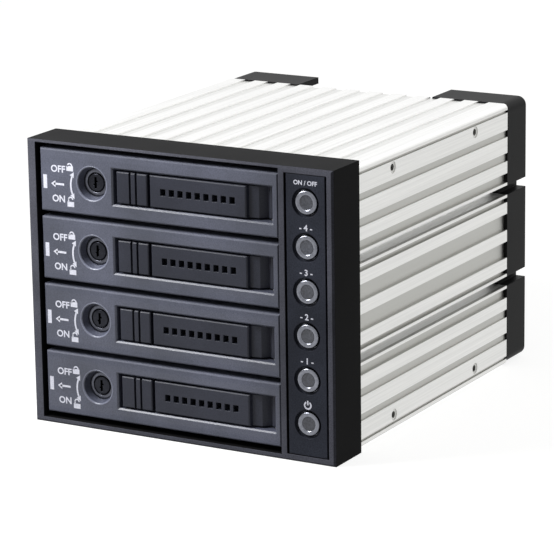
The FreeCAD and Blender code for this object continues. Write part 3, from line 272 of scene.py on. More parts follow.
def moulded_plastic(name, dark, pale, roughness, gloss, edge_round, grain_size=MOULD_GRAIN,
                    sides=None, rubbed=None):
    """Moulding with a sparkling grain, slow shifts of tone and softly rounded edges. With a
    colour for its sides, only the faces that look forward keep the paler colour, painted light
    for a lamp in front. Rubbed gives the lowest middle, the pitch and the half height of strips
    that hands rub smooth, how soft their edges are and how much rougher the rest is."""
    made, tree = new_material(name)
    position = add_node(tree, "ShaderNodeTexCoord")
    patches = add_node(tree, "ShaderNodeTexNoise", {"Vector": position.outputs["Object"],
                                                    "Scale": 1 / FLOW_PATCH, "Detail": 3.0})
    grain = add_node(tree, "ShaderNodeTexNoise", {"Vector": position.outputs["Object"],
                                                  "Scale": 1 / grain_size, "Detail": 2.0,
                                                  "Roughness": 0.6})
    sparkle = add_node(tree, "ShaderNodeMath", {0: patches.outputs["Fac"],
                                                1: grain.outputs["Fac"]}, operation="MULTIPLY")
    speckle = add_node(tree, "ShaderNodeMapRange", {"Value": sparkle.outputs[0],
                                                    "From Min": SPECKS_FROM,
                                                    "From Max": SPECKS_FULL})
    colour = add_node(tree, "ShaderNodeMix", {"Factor": speckle.outputs[0], "A": linear(dark),
                                              "B": linear(pale)}, data_type="RGBA")
    # Faces that look forward are painted paler, painted light for a lamp in front.
    if sides:
        flat = add_node(tree, "ShaderNodeNewGeometry")
        facing = add_node(tree, "ShaderNodeSeparateXYZ", {"Vector": flat.outputs["True Normal"]})
        front = add_node(tree, "ShaderNodeMapRange", {"Value": facing.outputs["Y"],
                                                      "From Min": LIT_FRONT_FROM,
                                                      "From Max": LIT_FRONT_FULL})
        colour = add_node(tree, "ShaderNodeMix", {"Factor": front.outputs[0],
                                                  "A": linear(sides),
                                                  "B": colour.outputs["Result"]},
                          data_type="RGBA")
    edges = add_node(tree, "ShaderNodeBevel", {"Radius": edge_round}, samples=6)
    bump = add_node(tree, "ShaderNodeBump", {"Height": grain.outputs["Fac"],
                                             "Normal": edges.outputs[0],
                                             "Strength": GRAIN_STRENGTH,
                                             "Distance": GRAIN_DEPTH})
    sheen = add_node(tree, "ShaderNodeMapRange", {"Value": patches.outputs["Fac"],
                                                  "To Min": roughness - SHEEN_SPREAD,
                                                  "To Max": roughness + SHEEN_SPREAD})
    if rubbed:
        first, pitch, half, soft, rougher = rubbed
        height = add_node(tree, "ShaderNodeSeparateXYZ", {"Vector": position.outputs["Object"]})
        folded = add_node(tree, "ShaderNodeMath", {0: height.outputs["Z"],
                                                   1: first - pitch / 2,
                                                   2: first + pitch / 2}, operation="WRAP")
        away = add_node(tree, "ShaderNodeMath", {0: folded.outputs[0], 1: first},
                        operation="SUBTRACT")
        far = add_node(tree, "ShaderNodeMath", {0: away.outputs[0]}, operation="ABSOLUTE")
        dull = add_node(tree, "ShaderNodeMapRange", {"Value": far.outputs[0], "From Min": half,
                                                     "From Max": half + soft,
                                                     "To Max": rougher})
        sheen = add_node(tree, "ShaderNodeMath", {0: sheen.outputs[0], 1: dull.outputs[0]},
                         operation="ADD")
    surface = add_node(tree, "ShaderNodeBsdfPrincipled",
                       {"Base Color": colour.outputs["Result"], "Roughness": sheen.outputs[0],
                        "IOR": 1.5, "Specular IOR Level": gloss, "Normal": bump.outputs[0]})
    add_node(tree, "ShaderNodeOutputMaterial", {"Surface": surface.outputs[0]})
    return made


# The bezel's forward faces are painted a flat dark grey, painted light for the lamp in front,
# and its sides stay bare black.
bezel_abs = moulded_plastic("front_painted_light_moulded_abs", "#43444B", "#5B5C66", roughness=0.5,
                            gloss=0.02, edge_round=0.0005, sides="#131314")
# The cap is bare ABS, nearly black and almost without shine.
cap_abs = moulded_plastic("bare_moulded_abs", "#0B0B0C", "#1A1A1B", roughness=0.45, gloss=0.06,
                          edge_round=0.0005)
# The control plate is tinted a blue black, a little deeper than the trays.
plate_abs = moulded_plastic("tinted_moulded_abs", "#22242B", "#343741", roughness=0.5,
                            gloss=0.08, edge_round=0.0003)
dress("front_bezel", bezel_abs)
dress("rear_cap", cap_abs)
dress("control_panel", plate_abs)


# Trays. Each front is a blue-black ABS moulding on a sled of folded, powder-coated steel. The
# lever hinges on a pin at one end, and the latch beside the lock slides to let it go.

TRAYS = range(1, 5)


def front_middle(node):
    """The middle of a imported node's front face."""
    low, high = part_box(node)
    return Vector(((low.x + high.x) / 2, low.y, (low.z + high.z) / 2))


# Hands rub the middle of each face to a shine and leave its upper and lower edges matt.
RUBBED_HALF = 0.0105
RUBBED_FADE = 0.001
MATT_EDGE = 0.32
tray_heights = [front_middle(f"tray_front_{number}").z for number in TRAYS]
tray_abs = moulded_plastic("blue_black_moulded_abs", "#3E414C", "#5A5D6D", roughness=0.36,
                           gloss=0.42, edge_round=0.0004,
                           rubbed=(tray_heights[0], tray_heights[1] - tray_heights[0],
                                   RUBBED_HALF, RUBBED_FADE, MATT_EDGE))
# Levers and latches come from a smoother mould, so they look darker and catch small lights.
lever_abs = moulded_plastic("smooth_moulded_abs", "#22242D", "#333540", roughness=0.4,
                            gloss=0.22, edge_round=0.0004)
# Baked powder coat is an even black with a soft shine and no grain of its own.
powder_coat = moulded_plastic("black_powder_coat", "#232325", "#2C2C2E", roughness=0.45,
                              gloss=0.4, edge_round=0.0002)

# Screen-printed ink is flat and slightly thin in places. Its specks are about 0.1 mm wide,
# drawn 0.56 mm wide so that they show.
INK_SPECK = 1 / 1800
INK_THICKNESS = 0.00002
white_ink, tree = new_material("screen_printed_white_ink")
position = add_node(tree, "ShaderNodeTexCoord")
wear = add_node(tree, "ShaderNodeTexNoise", {"Vector": position.outputs["Object"],
                                             "Scale": 1 / INK_SPECK, "Detail": 2.0})
colour = add_node(tree, "ShaderNodeMix", {"Factor": wear.outputs["Fac"],
                                          "A": linear("#B9BBCB"), "B": linear("#E8E9F2")},
                  data_type="RGBA")
surface = add_node(tree, "ShaderNodeBsdfPrincipled", {"Base Color": colour.outputs["Result"],
                                                      "Roughness": 0.6})
add_node(tree, "ShaderNodeOutputMaterial", {"Surface": surface.outputs[0]})


def new_piece(name, mesh, material, body):
    """Puts a finished mesh on a body."""
    mesh.materials.clear()
    mesh.materials.append(material)
    piece = bpy.data.objects.new(name, mesh)
    scene.collection.objects.link(piece)
    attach(piece, body)
    return piece


def printed_outlines(outlines, place):
    """Ink in closed outlines of (across, up) millimetres around a place on a front face."""
    mesh = bpy.data.meshes.new("ink")
    shape = bmesh.new()
    for outline in outlines:
        points = [shape.verts.new(place + Vector((across, 0, up)) / 1000)
                  for across, up in outline]
        face = shape.faces.new(points)
        raised = bmesh.ops.extrude_face_region(shape, geom=[face])
        front = [item for item in raised["geom"] if isinstance(item, bmesh.types.BMVert)]
        bmesh.ops.translate(shape, verts=front, vec=(0, -INK_THICKNESS, 0))
    bmesh.ops.recalc_face_normals(shape, faces=shape.faces)
    shape.to_mesh(mesh)
    shape.free()
    return mesh


# How tall a capital stands in its type size, and how much bolder than the type it prints.
CAPITAL_SHARE = 0.72
STROKE_SHARE = 0.035


def printed_words(words, tall, place):
    """Ink in plain capitals or figures, centred on a place on a front face."""
    letters = bpy.data.curves.new("ink", "FONT")
    letters.body = words
    letters.size = tall / CAPITAL_SHARE
    letters.align_x = "CENTER"
    letters.align_y = "CENTER"
    letters.offset = tall * STROKE_SHARE
    letters.extrude = INK_THICKNESS / 2
    letters.resolution_u = 3
    stand_in = bpy.data.objects.new("ink", letters)
    scene.collection.objects.link(stand_in)
    mesh = bpy.data.meshes.new_from_object(stand_in)
    bpy.data.objects.remove(stand_in)
    mesh.transform(Matrix.Translation(place - Vector((0, INK_THICKNESS / 2, 0)))
                   @ Matrix.Rotation(math.radians(90), 4, "X"))
    return mesh


def arc(radius, start, end, width, steps=14):
    """The outline of a band bent round (0, 0), in millimetres and degrees."""
    angles = [math.radians(start + (end - start) * i / steps) for i in range(steps + 1)]
    outer = [((radius + width / 2) * math.cos(a), (radius + width / 2) * math.sin(a))
             for a in angles]
    inner = [((radius - width / 2) * math.cos(a), (radius - width / 2) * math.sin(a))
             for a in reversed(angles)]
    return outer + inner


def moved(outline, across, up):
    """An outline shifted by millimetres."""
    return [(a + across, u + up) for a, u in outline]


def bar(across, up, wide, tall):
    """The outline of an upright rectangle round its middle."""
    return [(across - wide / 2, up - tall / 2), (across + wide / 2, up - tall / 2),
            (across + wide / 2, up + tall / 2), (across - wide / 2, up + tall / 2)]


BOW_RADIUS, BOW_WIDTH = 1.05, 0.6


def padlock(across, up, swing):
    """A small padlock, with its bow shut or swung up."""
    return [bar(across, up - 0.8, 3.4, 2.2),
            moved(arc(BOW_RADIUS, 0, 180, BOW_WIDTH), across, up + 0.3 + swing),
            bar(across - BOW_RADIUS, up + 0.3 + swing / 2, BOW_WIDTH, BOW_WIDTH + swing)]


# The legend beside each lock, in millimetres from a point just below its middle: which way
# the key turns, which way the latch slides, and a padlock by each end of the turn.
LEGEND_DROP = 1.4
WORD_LIFT, WORD_ACROSS, WORD_TALL = 6.5, -16.9, 3.0
PADLOCK_ACROSS = -10.9
KEY_TURN = [arc(10.6, 158, 202, 0.8), [(-8.9, 5.9), (-11.0, 4.5), (-9.0, 3.3)],
            [(-8.9, -5.9), (-11.0, -4.5), (-9.0, -3.3)]]
LATCH_ARROW = [bar(-16.6, 0, 5.2, 0.9), [(-20.6, 0), (-18.4, 1.5), (-18.4, -1.5)],
               bar(-23.6, 0.6, 1.9, 6.0)]
LEGEND = (KEY_TURN + LATCH_ARROW + padlock(PADLOCK_ACROSS, WORD_LIFT + 1.6, 0)
          + padlock(PADLOCK_ACROSS, -WORD_LIFT - 1.0, 0.9))
for number in TRAYS:
    body = f"tray_{number}"
    dress(f"tray_front_{number}", tray_abs)
    dress(f"tray_sled_{number}", powder_coat)
    dress(f"lever_{number}", lever_abs)
    dress(f"latch_{number}", lever_abs)
    front = front_middle(f"tray_front_{number}")
    lock = Vector((front_middle(f"lock_barrel_{number}").x, front.y,
                   front.z - LEGEND_DROP / 1000))
    new_piece(f"lock_marks_{number}", printed_outlines(LEGEND, lock), white_ink, body)
    for words, up in (("OFF", WORD_LIFT), ("ON", -WORD_LIFT)):
        place = lock + Vector((WORD_ACROSS, 0, up)) / 1000
        new_piece(f"lock_{words.lower()}_{number}",
                  printed_words(words, WORD_TALL / 1000, place), white_ink, body)


# Dish lips. Each tray front has a round dish for its lock, moulded with a rolled lip of the
# same ABS round it.

def smooth_shaded(mesh, crease=35):
    """Smooth faces, with edges sharper than the crease angle kept sharp."""
    mesh.polygons.foreach_set("use_smooth", [True] * len(mesh.polygons))
    mesh.set_sharp_from_angle(angle=math.radians(crease))
    return mesh


def turned(profile, sides=48):
    """A shape turned about a line along Y, from (radius, depth) in millimetres."""
    mesh = bpy.data.meshes.new("turned")
    shape = bmesh.new()
    points = [shape.verts.new((radius / 1000, depth / 1000, 0)) for radius, depth in profile]
    lines = [shape.edges.new(pair) for pair in zip(points, points[1:])]
    bmesh.ops.spin(shape, geom=points + lines, axis=(0, 1, 0), cent=(0, 0, 0), steps=sides,
                   angle=2 * math.pi)
    bmesh.ops.remove_doubles(shape, verts=shape.verts, dist=1e-6)
    bmesh.ops.recalc_face_normals(shape, faces=shape.faces)
    shape.to_mesh(mesh)
    shape.free()
    return smooth_shaded(mesh)


# The lip is painted lighter than the face, a painted highlight that draws a bright ring, and it
# is glossier.
lip_painted_highlight_abs = moulded_plastic("rim_abs_painted_highlight", "#5D606E", "#7A7E90", roughness=0.3, gloss=0.5,
                          edge_round=0.0002)
LIP = [(7.9, 0.0), (7.75, -0.06), (7.55, -0.04), (7.3, 0.12), (7.12, 0.34), (7.05, 0.62),
       (7.4, 0.62), (7.9, 0.0)]
for number in TRAYS:
    lock = front_middle(f"lock_barrel_{number}")
    mesh = turned(LIP, sides=64)
    mesh.transform(Matrix.Translation((lock.x, front_middle(f"tray_front_{number}").y,
                                       lock.z)))
    new_piece(f"dish_lip_{number}", mesh, lip_painted_highlight_abs, f"tray_{number}")


# Locks. A die-cast zinc barrel with dark nickel plate sits in each dish, and the plated core
# that turns in it has a keyway with two steps for the key's grooves.

# Plated metal keeps faint smears of its polish, about 1.1 mm wide.
POLISH_SMEAR = 1 / 900
SMEAR_SPREAD = 0.08


def plated_metal(name, dark, pale, roughness, edge_round):
    """Plated or turned metal, with a slightly uneven polish."""
    made, tree = new_material(name)
    position = add_node(tree, "ShaderNodeTexCoord")
    smears = add_node(tree, "ShaderNodeTexNoise", {"Vector": position.outputs["Object"],
                                                   "Scale": 1 / POLISH_SMEAR, "Detail": 3.0})
    colour = add_node(tree, "ShaderNodeMix", {"Factor": smears.outputs["Fac"],
                                              "A": linear(dark), "B": linear(pale)},
                      data_type="RGBA")
    polish = add_node(tree, "ShaderNodeMapRange", {"Value": smears.outputs["Fac"],
                                                   "To Min": roughness - SMEAR_SPREAD,
                                                   "To Max": roughness + SMEAR_SPREAD})
    edges = add_node(tree, "ShaderNodeBevel", {"Radius": edge_round}, samples=6)
    surface = add_node(tree, "ShaderNodeBsdfPrincipled",
                       {"Base Color": colour.outputs["Result"], "Metallic": 1.0,
                        "Roughness": polish.outputs[0], "Normal": edges.outputs[0]})
    add_node(tree, "ShaderNodeOutputMaterial", {"Surface": surface.outputs[0]})
    return made


def prism(outline, front, back, shrink=1.0):
    """An outline of (across, up) millimetres drawn out along Y, narrower at its back end."""
    mesh = bpy.data.meshes.new("prism")
    shape = bmesh.new()
    near = [shape.verts.new(Vector((a, front, u)) / 1000) for a, u in outline]
    far = [shape.verts.new(Vector((a * shrink, back, u * shrink)) / 1000) for a, u in outline]
    shape.faces.new(near)
    shape.faces.new(reversed(far))
    for i in range(len(outline)):
        j = (i + 1) % len(outline)
        shape.faces.new((near[j], near[i], far[i], far[j]))
    bmesh.ops.recalc_face_normals(shape, faces=shape.faces)
    shape.to_mesh(mesh)
    shape.free()
    return mesh


def cut_out(mesh, cutter):
    """One closed mesh with another cut out of it."""
    whole = bpy.data.objects.new("whole", mesh)
    tool = bpy.data.objects.new("tool", cutter)
    for item in (whole, tool):
        scene.collection.objects.link(item)
    modifier = whole.modifiers.new("cut", "BOOLEAN")
    modifier.object = tool
    modifier.solver = "EXACT"
    shapes = bpy.context.evaluated_depsgraph_get()
    result = bpy.data.meshes.new_from_object(whole.evaluated_get(shapes))
    for item in (whole, tool):
        bpy.data.objects.remove(item)
    return smooth_shaded(result)


# Dark nickel shows a grey ring with a bright rim, black nickel a nearly black disc in it.
dark_nickel = plated_metal("dark_nickel_plated_zinc", "#3A3B42", "#62646D", roughness=0.3,
                           edge_round=0.0003)
black_nickel = plated_metal("black_nickel_plated_brass", "#1C1D21", "#34353B",
                            roughness=0.26, edge_round=0.0002)
# Profiles as (radius, depth) and the keyway's outline as (across, up), in millimetres.
BARREL = [(4.25, 4.8), (4.25, 0.5), (4.4, 0.2), (4.75, 0.05), (5.2, 0.0), (5.7, 0.05),
          (6.05, 0.2), (6.2, 0.5), (6.2, 1.0), (5.2, 1.0), (5.2, 4.8), (4.25, 4.8)]
CORE = [(0, 0), (3.4, 0), (3.8, 0.1), (4.08, 0.35), (4.2, 0.7), (4.2, 5.1), (0, 5.1)]
KEYWAY = [(-0.55, 2.5), (0.55, 2.5), (0.55, 0.9), (1.05, 0.9), (1.05, 0.2), (0.55, 0.2),
          (0.55, -2.5), (-0.55, -2.5), (-0.55, -1.3), (-1.05, -1.3), (-1.05, -0.6),
          (-0.55, -0.6)]
KEYWAY_DEPTH = 3.2
CUT_CLEAR = 0.5
for number in TRAYS:
    for part, profile, material, body in (
            ("lock_barrel", BARREL, dark_nickel, f"tray_{number}"),
            ("lock_core", CORE, black_nickel, f"lock_core_{number}")):
        mesh = turned(profile)
        if part == "lock_core":
            mesh = cut_out(mesh, prism(KEYWAY, -CUT_CLEAR, KEYWAY_DEPTH))
        mesh.transform(Matrix.Translation(front_middle(f"{part}_{number}")))
        piece = new_piece(f"{part}_metal_{number}", mesh, material, body)
        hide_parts(f"{part}_{number}")


# Buttons. Chromed ABS caps in the control plate, each round a smoked window for its lamp and
# on the stem of a small tactile switch. Ink above each says what it is for.

# Satin chrome gives each cap a bright, soft ring.
satin_chrome = plated_metal("satin_chrome_plated_abs", "#5C5E66", "#888A92", roughness=0.24,
                            edge_round=0.0003)
# The unlit window is a dark, glossy dimple. Its fill has a 0.2 mm grain, drawn 0.8 mm wide.
smoked_window = moulded_plastic("smoked_moulded_polycarbonate", "#2C2E35", "#4C4F59",
                                roughness=0.2, gloss=0.5, edge_round=0.0002,
                                grain_size=0.0008)
# Profiles of the window and of the cap's front, as (radius, depth) in millimetres.
WINDOW = [(0, 0.62), (1.4, 0.56), (2.5, 0.46), (3.0, 0.5), (3.0, 1.5), (0, 1.5)]
CAP_FRONT = [(0, 1.2), (3.02, 1.2), (3.02, 0.5), (3.25, 0.2), (3.7, 0.04), (4.2, 0.0),
             (4.7, 0.1), (5.03, 0.34), (5.2, 0.8)]
CAP_RADIUS, FLANGE_RADIUS, STEM_RADIUS = 5.2, 6.4, 1.4
# What lies farther than this from a packed button's axis, in metres, is its flange.
FLANGE_FROM = 0.0058
for number in range(1, 7):
    node = f"button_{number}"
    low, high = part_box(node)
    front = front_middle(node)
    flange = [v.co.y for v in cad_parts[node].data.vertices
              if math.hypot(v.co.x - front.x, v.co.z - front.z) > FLANGE_FROM]
    flange_front = (min(flange) - low.y) * 1000
    flange_back = (max(flange) - low.y) * 1000
    length = (high.y - low.y) * 1000
    cap = CAP_FRONT + [(CAP_RADIUS, flange_front), (FLANGE_RADIUS, flange_front),
                       (FLANGE_RADIUS, flange_back), (STEM_RADIUS, flange_back),
                       (STEM_RADIUS, length), (0, length)]
    mesh = turned(cap)
    mesh.transform(Matrix.Translation(front))
    piece = new_piece(f"button_cap_{number}", mesh, satin_chrome, node)
    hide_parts(node)
    mesh = turned(WINDOW)
    mesh.transform(Matrix.Translation(front))
    new_piece(f"button_window_{number}", mesh, smoked_window, node)

# Each mark's middle lies 1.8 mm above its button's flange.
MARK_LIFT = 0.0018
SMALL_MARK, TALL_MARK = 0.0019, 0.0026
plate_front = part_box("control_panel")[0].y


def above_button(number):
    """The place on the control plate where a button's mark is printed."""
    low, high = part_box(f"button_{number}")
    return Vector(((low.x + high.x) / 2, plate_front, high.z + MARK_LIFT))


for number, words, tall in ((6, "ON / OFF", SMALL_MARK), (5, "- 4 -", TALL_MARK),
                            (4, "- 3 -", TALL_MARK), (3, "- 2 -", TALL_MARK),
                            (2, "- 1 -", TALL_MARK)):
    new_piece(f"button_mark_{number}", printed_words(words, tall, above_button(number)),
              white_ink, "cage")
POWER_SIGN = [arc(1.5, 120, 420, 0.7, 24), bar(0, 1.1, 0.7, 2.0)]
new_piece("button_mark_1", printed_outlines(POWER_SIGN, above_button(1)), white_ink, "cage")


# Guides and boards. Moulded acetal guides carry the sleds, and behind them stands the
# backplane, an etched glass-fibre board with parts soldered round each of its four ports.

def block(low, high, rounding):
    """A block between two corners in metres, with its edges rounded."""
    mesh = bpy.data.meshes.new("block")
    shape = bmesh.new()
    bmesh.ops.create_cube(shape, size=1.0)
    size = Vector(high) - Vector(low)
    for vertex in shape.verts:
        vertex.co = Vector(low) + Vector((size[i] * (vertex.co[i] + 0.5) for i in range(3)))
    bmesh.ops.bevel(shape, geom=shape.edges[:], offset=rounding, segments=2, profile=0.5,
                    affect="EDGES")
    shape.to_mesh(mesh)
    shape.free()
    return smooth_shaded(mesh)


def joined(meshes):
    """Several meshes as one."""
    mesh = bpy.data.meshes.new("joined")
    shape = bmesh.new()
    for item in meshes:
        shape.from_mesh(item)
    shape.to_mesh(mesh)
    shape.free()
    return smooth_shaded(mesh)


def solids_of(node):
    """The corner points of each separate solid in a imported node, lowest solid first."""
    shape = bmesh.new()
    shape.from_mesh(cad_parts[node].data)
    bmesh.ops.remove_doubles(shape, verts=shape.verts, dist=1e-6)
    waiting = set(shape.verts)
    solids = []
    while waiting:
        found = [waiting.pop()]
        for vertex in found:
            for edge in vertex.link_edges:
                other = edge.other_vert(vertex)
                if other in waiting:
                    waiting.remove(other)
                    found.append(other)
        solids.append(sorted((vertex.co.copy() for vertex in found), key=tuple))
    shape.free()
    return sorted(solids, key=lambda points: (min(p.z for p in points), points[0].x))


def corners(points):
    """The lowest and the highest corner of the box round some points."""
    return (Vector([min(p[i] for p in points) for i in range(3)]),
            Vector([max(p[i] for p in points) for i in range(3)]))


# Acetal is a waxy, even black. Solder mask is a glossy green lacquer, cloudy over the weave
# of the glass. The weave is about 0.4 mm wide, drawn 0.8 mm wide.
guide_acetal = moulded_plastic("black_moulded_acetal", "#19191A", "#222223", roughness=0.4,
                               gloss=0.3, edge_round=0.0003, grain_size=0.0006)
solder_mask = moulded_plastic("green_solder_mask_on_glass_fibre", "#0F4A2A", "#17623A",
                              roughness=0.3, gloss=0.5, edge_round=0.0001,
                              grain_size=0.0008)
for node in ("guide_rail_left", "partition_wall"):
    dress(node, guide_acetal)
for node in ("backplane_board", "control_board"):
    dress(node, solder_mask)

# Chip epoxy is a dull charcoal. Tinned copper is a pale, bright grey.
chip_epoxy = moulded_plastic("moulded_chip_epoxy", "#1C1C1E", "#2A2A2C", roughness=0.5,
                             gloss=0.3, edge_round=0.0001, grain_size=0.0003)
tinned_copper = plated_metal("tinned_copper", "#B5B5B0", "#D2D2CD", roughness=0.35,
                             edge_round=0.0001)
# What stands round each port, in millimetres: how far across from its side and up from its
# middle, and how wide, tall and thick. A controller with two rows of leads, and small
# resistors and capacitors with tinned ends.
CONTROLLER = (-5.5, 0.0, 5.0, 6.0, 1.4)
SMALL_PARTS = ((-5.0, 8.0, 2.0, 1.2, 0.7), (-5.0, 10.5, 2.0, 1.2, 0.7),
               (-9.5, 8.5, 1.2, 2.0, 0.7), (4.0, 9.0, 2.0, 1.2, 0.7), (9.0, 9.0, 2.0, 1.2, 0.7))
LEADS, LEAD_PITCH, LEAD_REACH = 5, 1.1, 0.4
LEAD_HALF = Vector((0.0005, 0, 0.0002))
LEAD_TOP = Vector((0, 0.0004, 0))
TINNED_END_HALF, TINNED_END_PROUD = 0.00035, 1.05
CHIP_CORNER, LEAD_CORNER, END_CORNER = 0.00015, 0.00005, 0.0001
board_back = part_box("backplane_board")[1].y
chips, solder = [], []
for points in solids_of("data_ports"):
    low, high = corners(points)
    for part in (CONTROLLER,) + SMALL_PARTS:
        across, up, wide, tall, thick = part
        middle = Vector((low.x + across / 1000, board_back, (low.z + high.z) / 2 + up / 1000))
        half = Vector((wide / 2000, 0, tall / 2000))
        top = Vector((0, thick / 1000, 0))
        chips.append(block(middle - half, middle + half + top, CHIP_CORNER))
        if part is CONTROLLER:
            for row in range(LEADS):
                for end in (-1, 1):
                    spot = middle + Vector((end * (wide / 2 + LEAD_REACH), 0,
                                            (row - (LEADS - 1) / 2) * LEAD_PITCH)) / 1000
                    solder.append(block(spot - LEAD_HALF, spot + LEAD_HALF + LEAD_TOP,
                                        LEAD_CORNER))
            continue
        for end in (-1, 1):
            if wide > tall:
                spot = middle + Vector((wide / 2000, 0, 0)) * end
                size = Vector((TINNED_END_HALF, 0, tall / 2000))
            else:
                spot = middle + Vector((0, 0, tall / 2000)) * end
                size = Vector((wide / 2000, 0, TINNED_END_HALF))
            solder.append(block(spot - size, spot + size + top * TINNED_END_PROUD,
                                END_CORNER))
new_piece("board_chips", joined(chips), chip_epoxy, "cage")
new_piece("board_solder", joined(solder), tinned_copper, "cage")


# Ports, sockets and switches. Moulded nylon housings stand on the boards, with gold-plated
# contacts in the ports and tinned pins in the power sockets.

# Glass-filled nylon is a dry black, plain nylon the colour of bone, and gold a warm glint.
black_nylon = moulded_plastic("glass_filled_moulded_nylon", "#141415", "#1D1D1E",
                              roughness=0.5, gloss=0.3, edge_round=0.0002,
                              grain_size=0.0004)
natural_nylon = moulded_plastic("natural_moulded_nylon", "#CFCBBD", "#E4E0D3", roughness=0.4,
                                gloss=0.4, edge_round=0.0002, grain_size=0.0006)
gold_plate = plated_metal("gold_plated_bronze", "#C79A3E", "#E3BC62", roughness=0.25,
                          edge_round=0.0001)
for node in ("drive_connectors", "data_ports", "button_switches"):
    dress(node, black_nylon)
dress("power_sockets", natural_nylon)

# Sizes of a port's inside, in metres: a tongue with a key at one end stands in the shell.
SHELL_DEPTH, TONGUE_SET_BACK, CONTACT_SET_BACK = 0.006, 0.0008, 0.0014
TONGUE_HALF, TONGUE_HALF_THICK = 0.0052, 0.0006
KEY_FROM, KEY_TO, KEY_DROP = 0.0042, 0.0054, 0.0018
CONTACT_PITCH, CONTACT_HALF = 0.00127, 0.0003
PORT_CONTACTS, PORT_SHIFT = 7, 0.0005
DATA_CONTACTS, DRIVE_CONTACTS, DRIVE_GAP_HALF = 7, 22, 0.0012
TONGUE_CORNER, CONTACT_CORNER, DRIVE_CONTACT_CORNER = 0.0002, 0.00008, 0.00006
# Where a contact's lower and upper face lie below the tongue's middle, and where a drive
# contact starts and ends behind the front of its connector.
CONTACT_LOW, CONTACT_HIGH = 0.00075, 0.0005
DRIVE_CONTACT_LOW, DRIVE_CONTACT_HIGH = 0.0008, 0.00062
DRIVE_CONTACT_FROM, DRIVE_CONTACT_TO = 0.0006, 0.004
tongues, contacts = [], []
for points in solids_of("data_ports"):
    low, high = corners(points)
    middle = (low + high) / 2
    depth = high.y - SHELL_DEPTH
    tongue_end = high.y - TONGUE_SET_BACK
    tongues.append(block((middle.x - TONGUE_HALF, depth, middle.z - TONGUE_HALF_THICK),
                         (middle.x + TONGUE_HALF, tongue_end, middle.z + TONGUE_HALF_THICK),
                         TONGUE_CORNER))
    tongues.append(block((middle.x + KEY_FROM, depth, middle.z - KEY_DROP),
                         (middle.x + KEY_TO, tongue_end, middle.z + TONGUE_HALF_THICK),
                         TONGUE_CORNER))
    for index in range(PORT_CONTACTS):
        across = middle.x + (index - (PORT_CONTACTS - 1) / 2) * CONTACT_PITCH - PORT_SHIFT
        contacts.append(block((across - CONTACT_HALF, depth, middle.z - CONTACT_LOW),
                              (across + CONTACT_HALF, high.y - CONTACT_SET_BACK,
                               middle.z - CONTACT_HIGH), CONTACT_CORNER))
for points in solids_of("drive_connectors"):
    low, high = corners(points)
    middle = (low + high) / 2
    for index in range(DRIVE_CONTACTS):
        across = (middle.x + (index - (DRIVE_CONTACTS - 1) / 2) * CONTACT_PITCH
                  + (-DRIVE_GAP_HALF if index < DATA_CONTACTS else DRIVE_GAP_HALF))
        contacts.append(block((across - CONTACT_HALF, low.y + DRIVE_CONTACT_FROM,
                               middle.z - DRIVE_CONTACT_LOW),
                              (across + CONTACT_HALF, low.y + DRIVE_CONTACT_TO,
                               middle.z - DRIVE_CONTACT_HIGH), DRIVE_CONTACT_CORNER))
new_piece("port_tongues", joined(tongues), black_nylon, "cage")
new_piece("port_contacts", joined(contacts), gold_plate, "cage")

PIN = [(0, 0), (0.5, 0.1), (0.9, 0.5), (1.05, 1.1), (1.05, 6.5), (0, 6.5)]
PINS_IN_A_SOCKET, PIN_PITCH, PIN_SET_BACK = 4, 0.00508, 0.0012
pins = []
for points in solids_of("power_sockets"):
    low, high = corners(points)
    middle = (low + high) / 2
    for index in range(PINS_IN_A_SOCKET):
        mesh = turned(PIN, sides=20)
        up = (index - (PINS_IN_A_SOCKET - 1) / 2) * PIN_PITCH
        mesh.transform(Matrix.Translation((middle.x, high.y - PIN_SET_BACK, middle.z + up))
                       @ Matrix.Rotation(math.pi, 4, "Z"))
        pins.append(mesh)
new_piece("power_pins", joined(pins), tinned_copper, "cage")


# Fan. An 80 mm fan blows out through the rear cap: a glass-filled PBT frame with four spokes,
# and a moulded PBT rotor of seven cambered blades on a cup with a ring magnet in it.

# Fan PBT is black with a slight shine, which shows the curve of the blades.
fan_pbt = moulded_plastic("glass_filled_moulded_pbt", "#1B1B1C", "#2A2A2B", roughness=0.4,
                          gloss=0.4, edge_round=0.0003, grain_size=0.0004)
dress("fan_frame", fan_pbt)
# Sizes of the rotor, in millimetres.
HUB_RADIUS = 15.5
HUB = [(0, 0), (13.2, 0), (14.5, 0.25), (15.2, 0.9), (15.5, 1.9), (15.5, 10), (0, 10)]
HUB_SET_BACK = 1.4
BLADES = 7
ROOT_RADIUS, TIP_RADIUS = HUB_RADIUS - 0.7, 36.3
ROOT_CHORD, TIP_CHORD = 11.0, 16.5
ROOT_PITCH, TIP_PITCH = math.radians(52), math.radians(33)
ROOT_THICKNESS, TIP_THICKNESS = 1.5, 0.9
SWEEP = math.radians(9)
CAMBER = 0.09
HALF_EDGE = 0.08
BLADE_DEPTH = 4.9


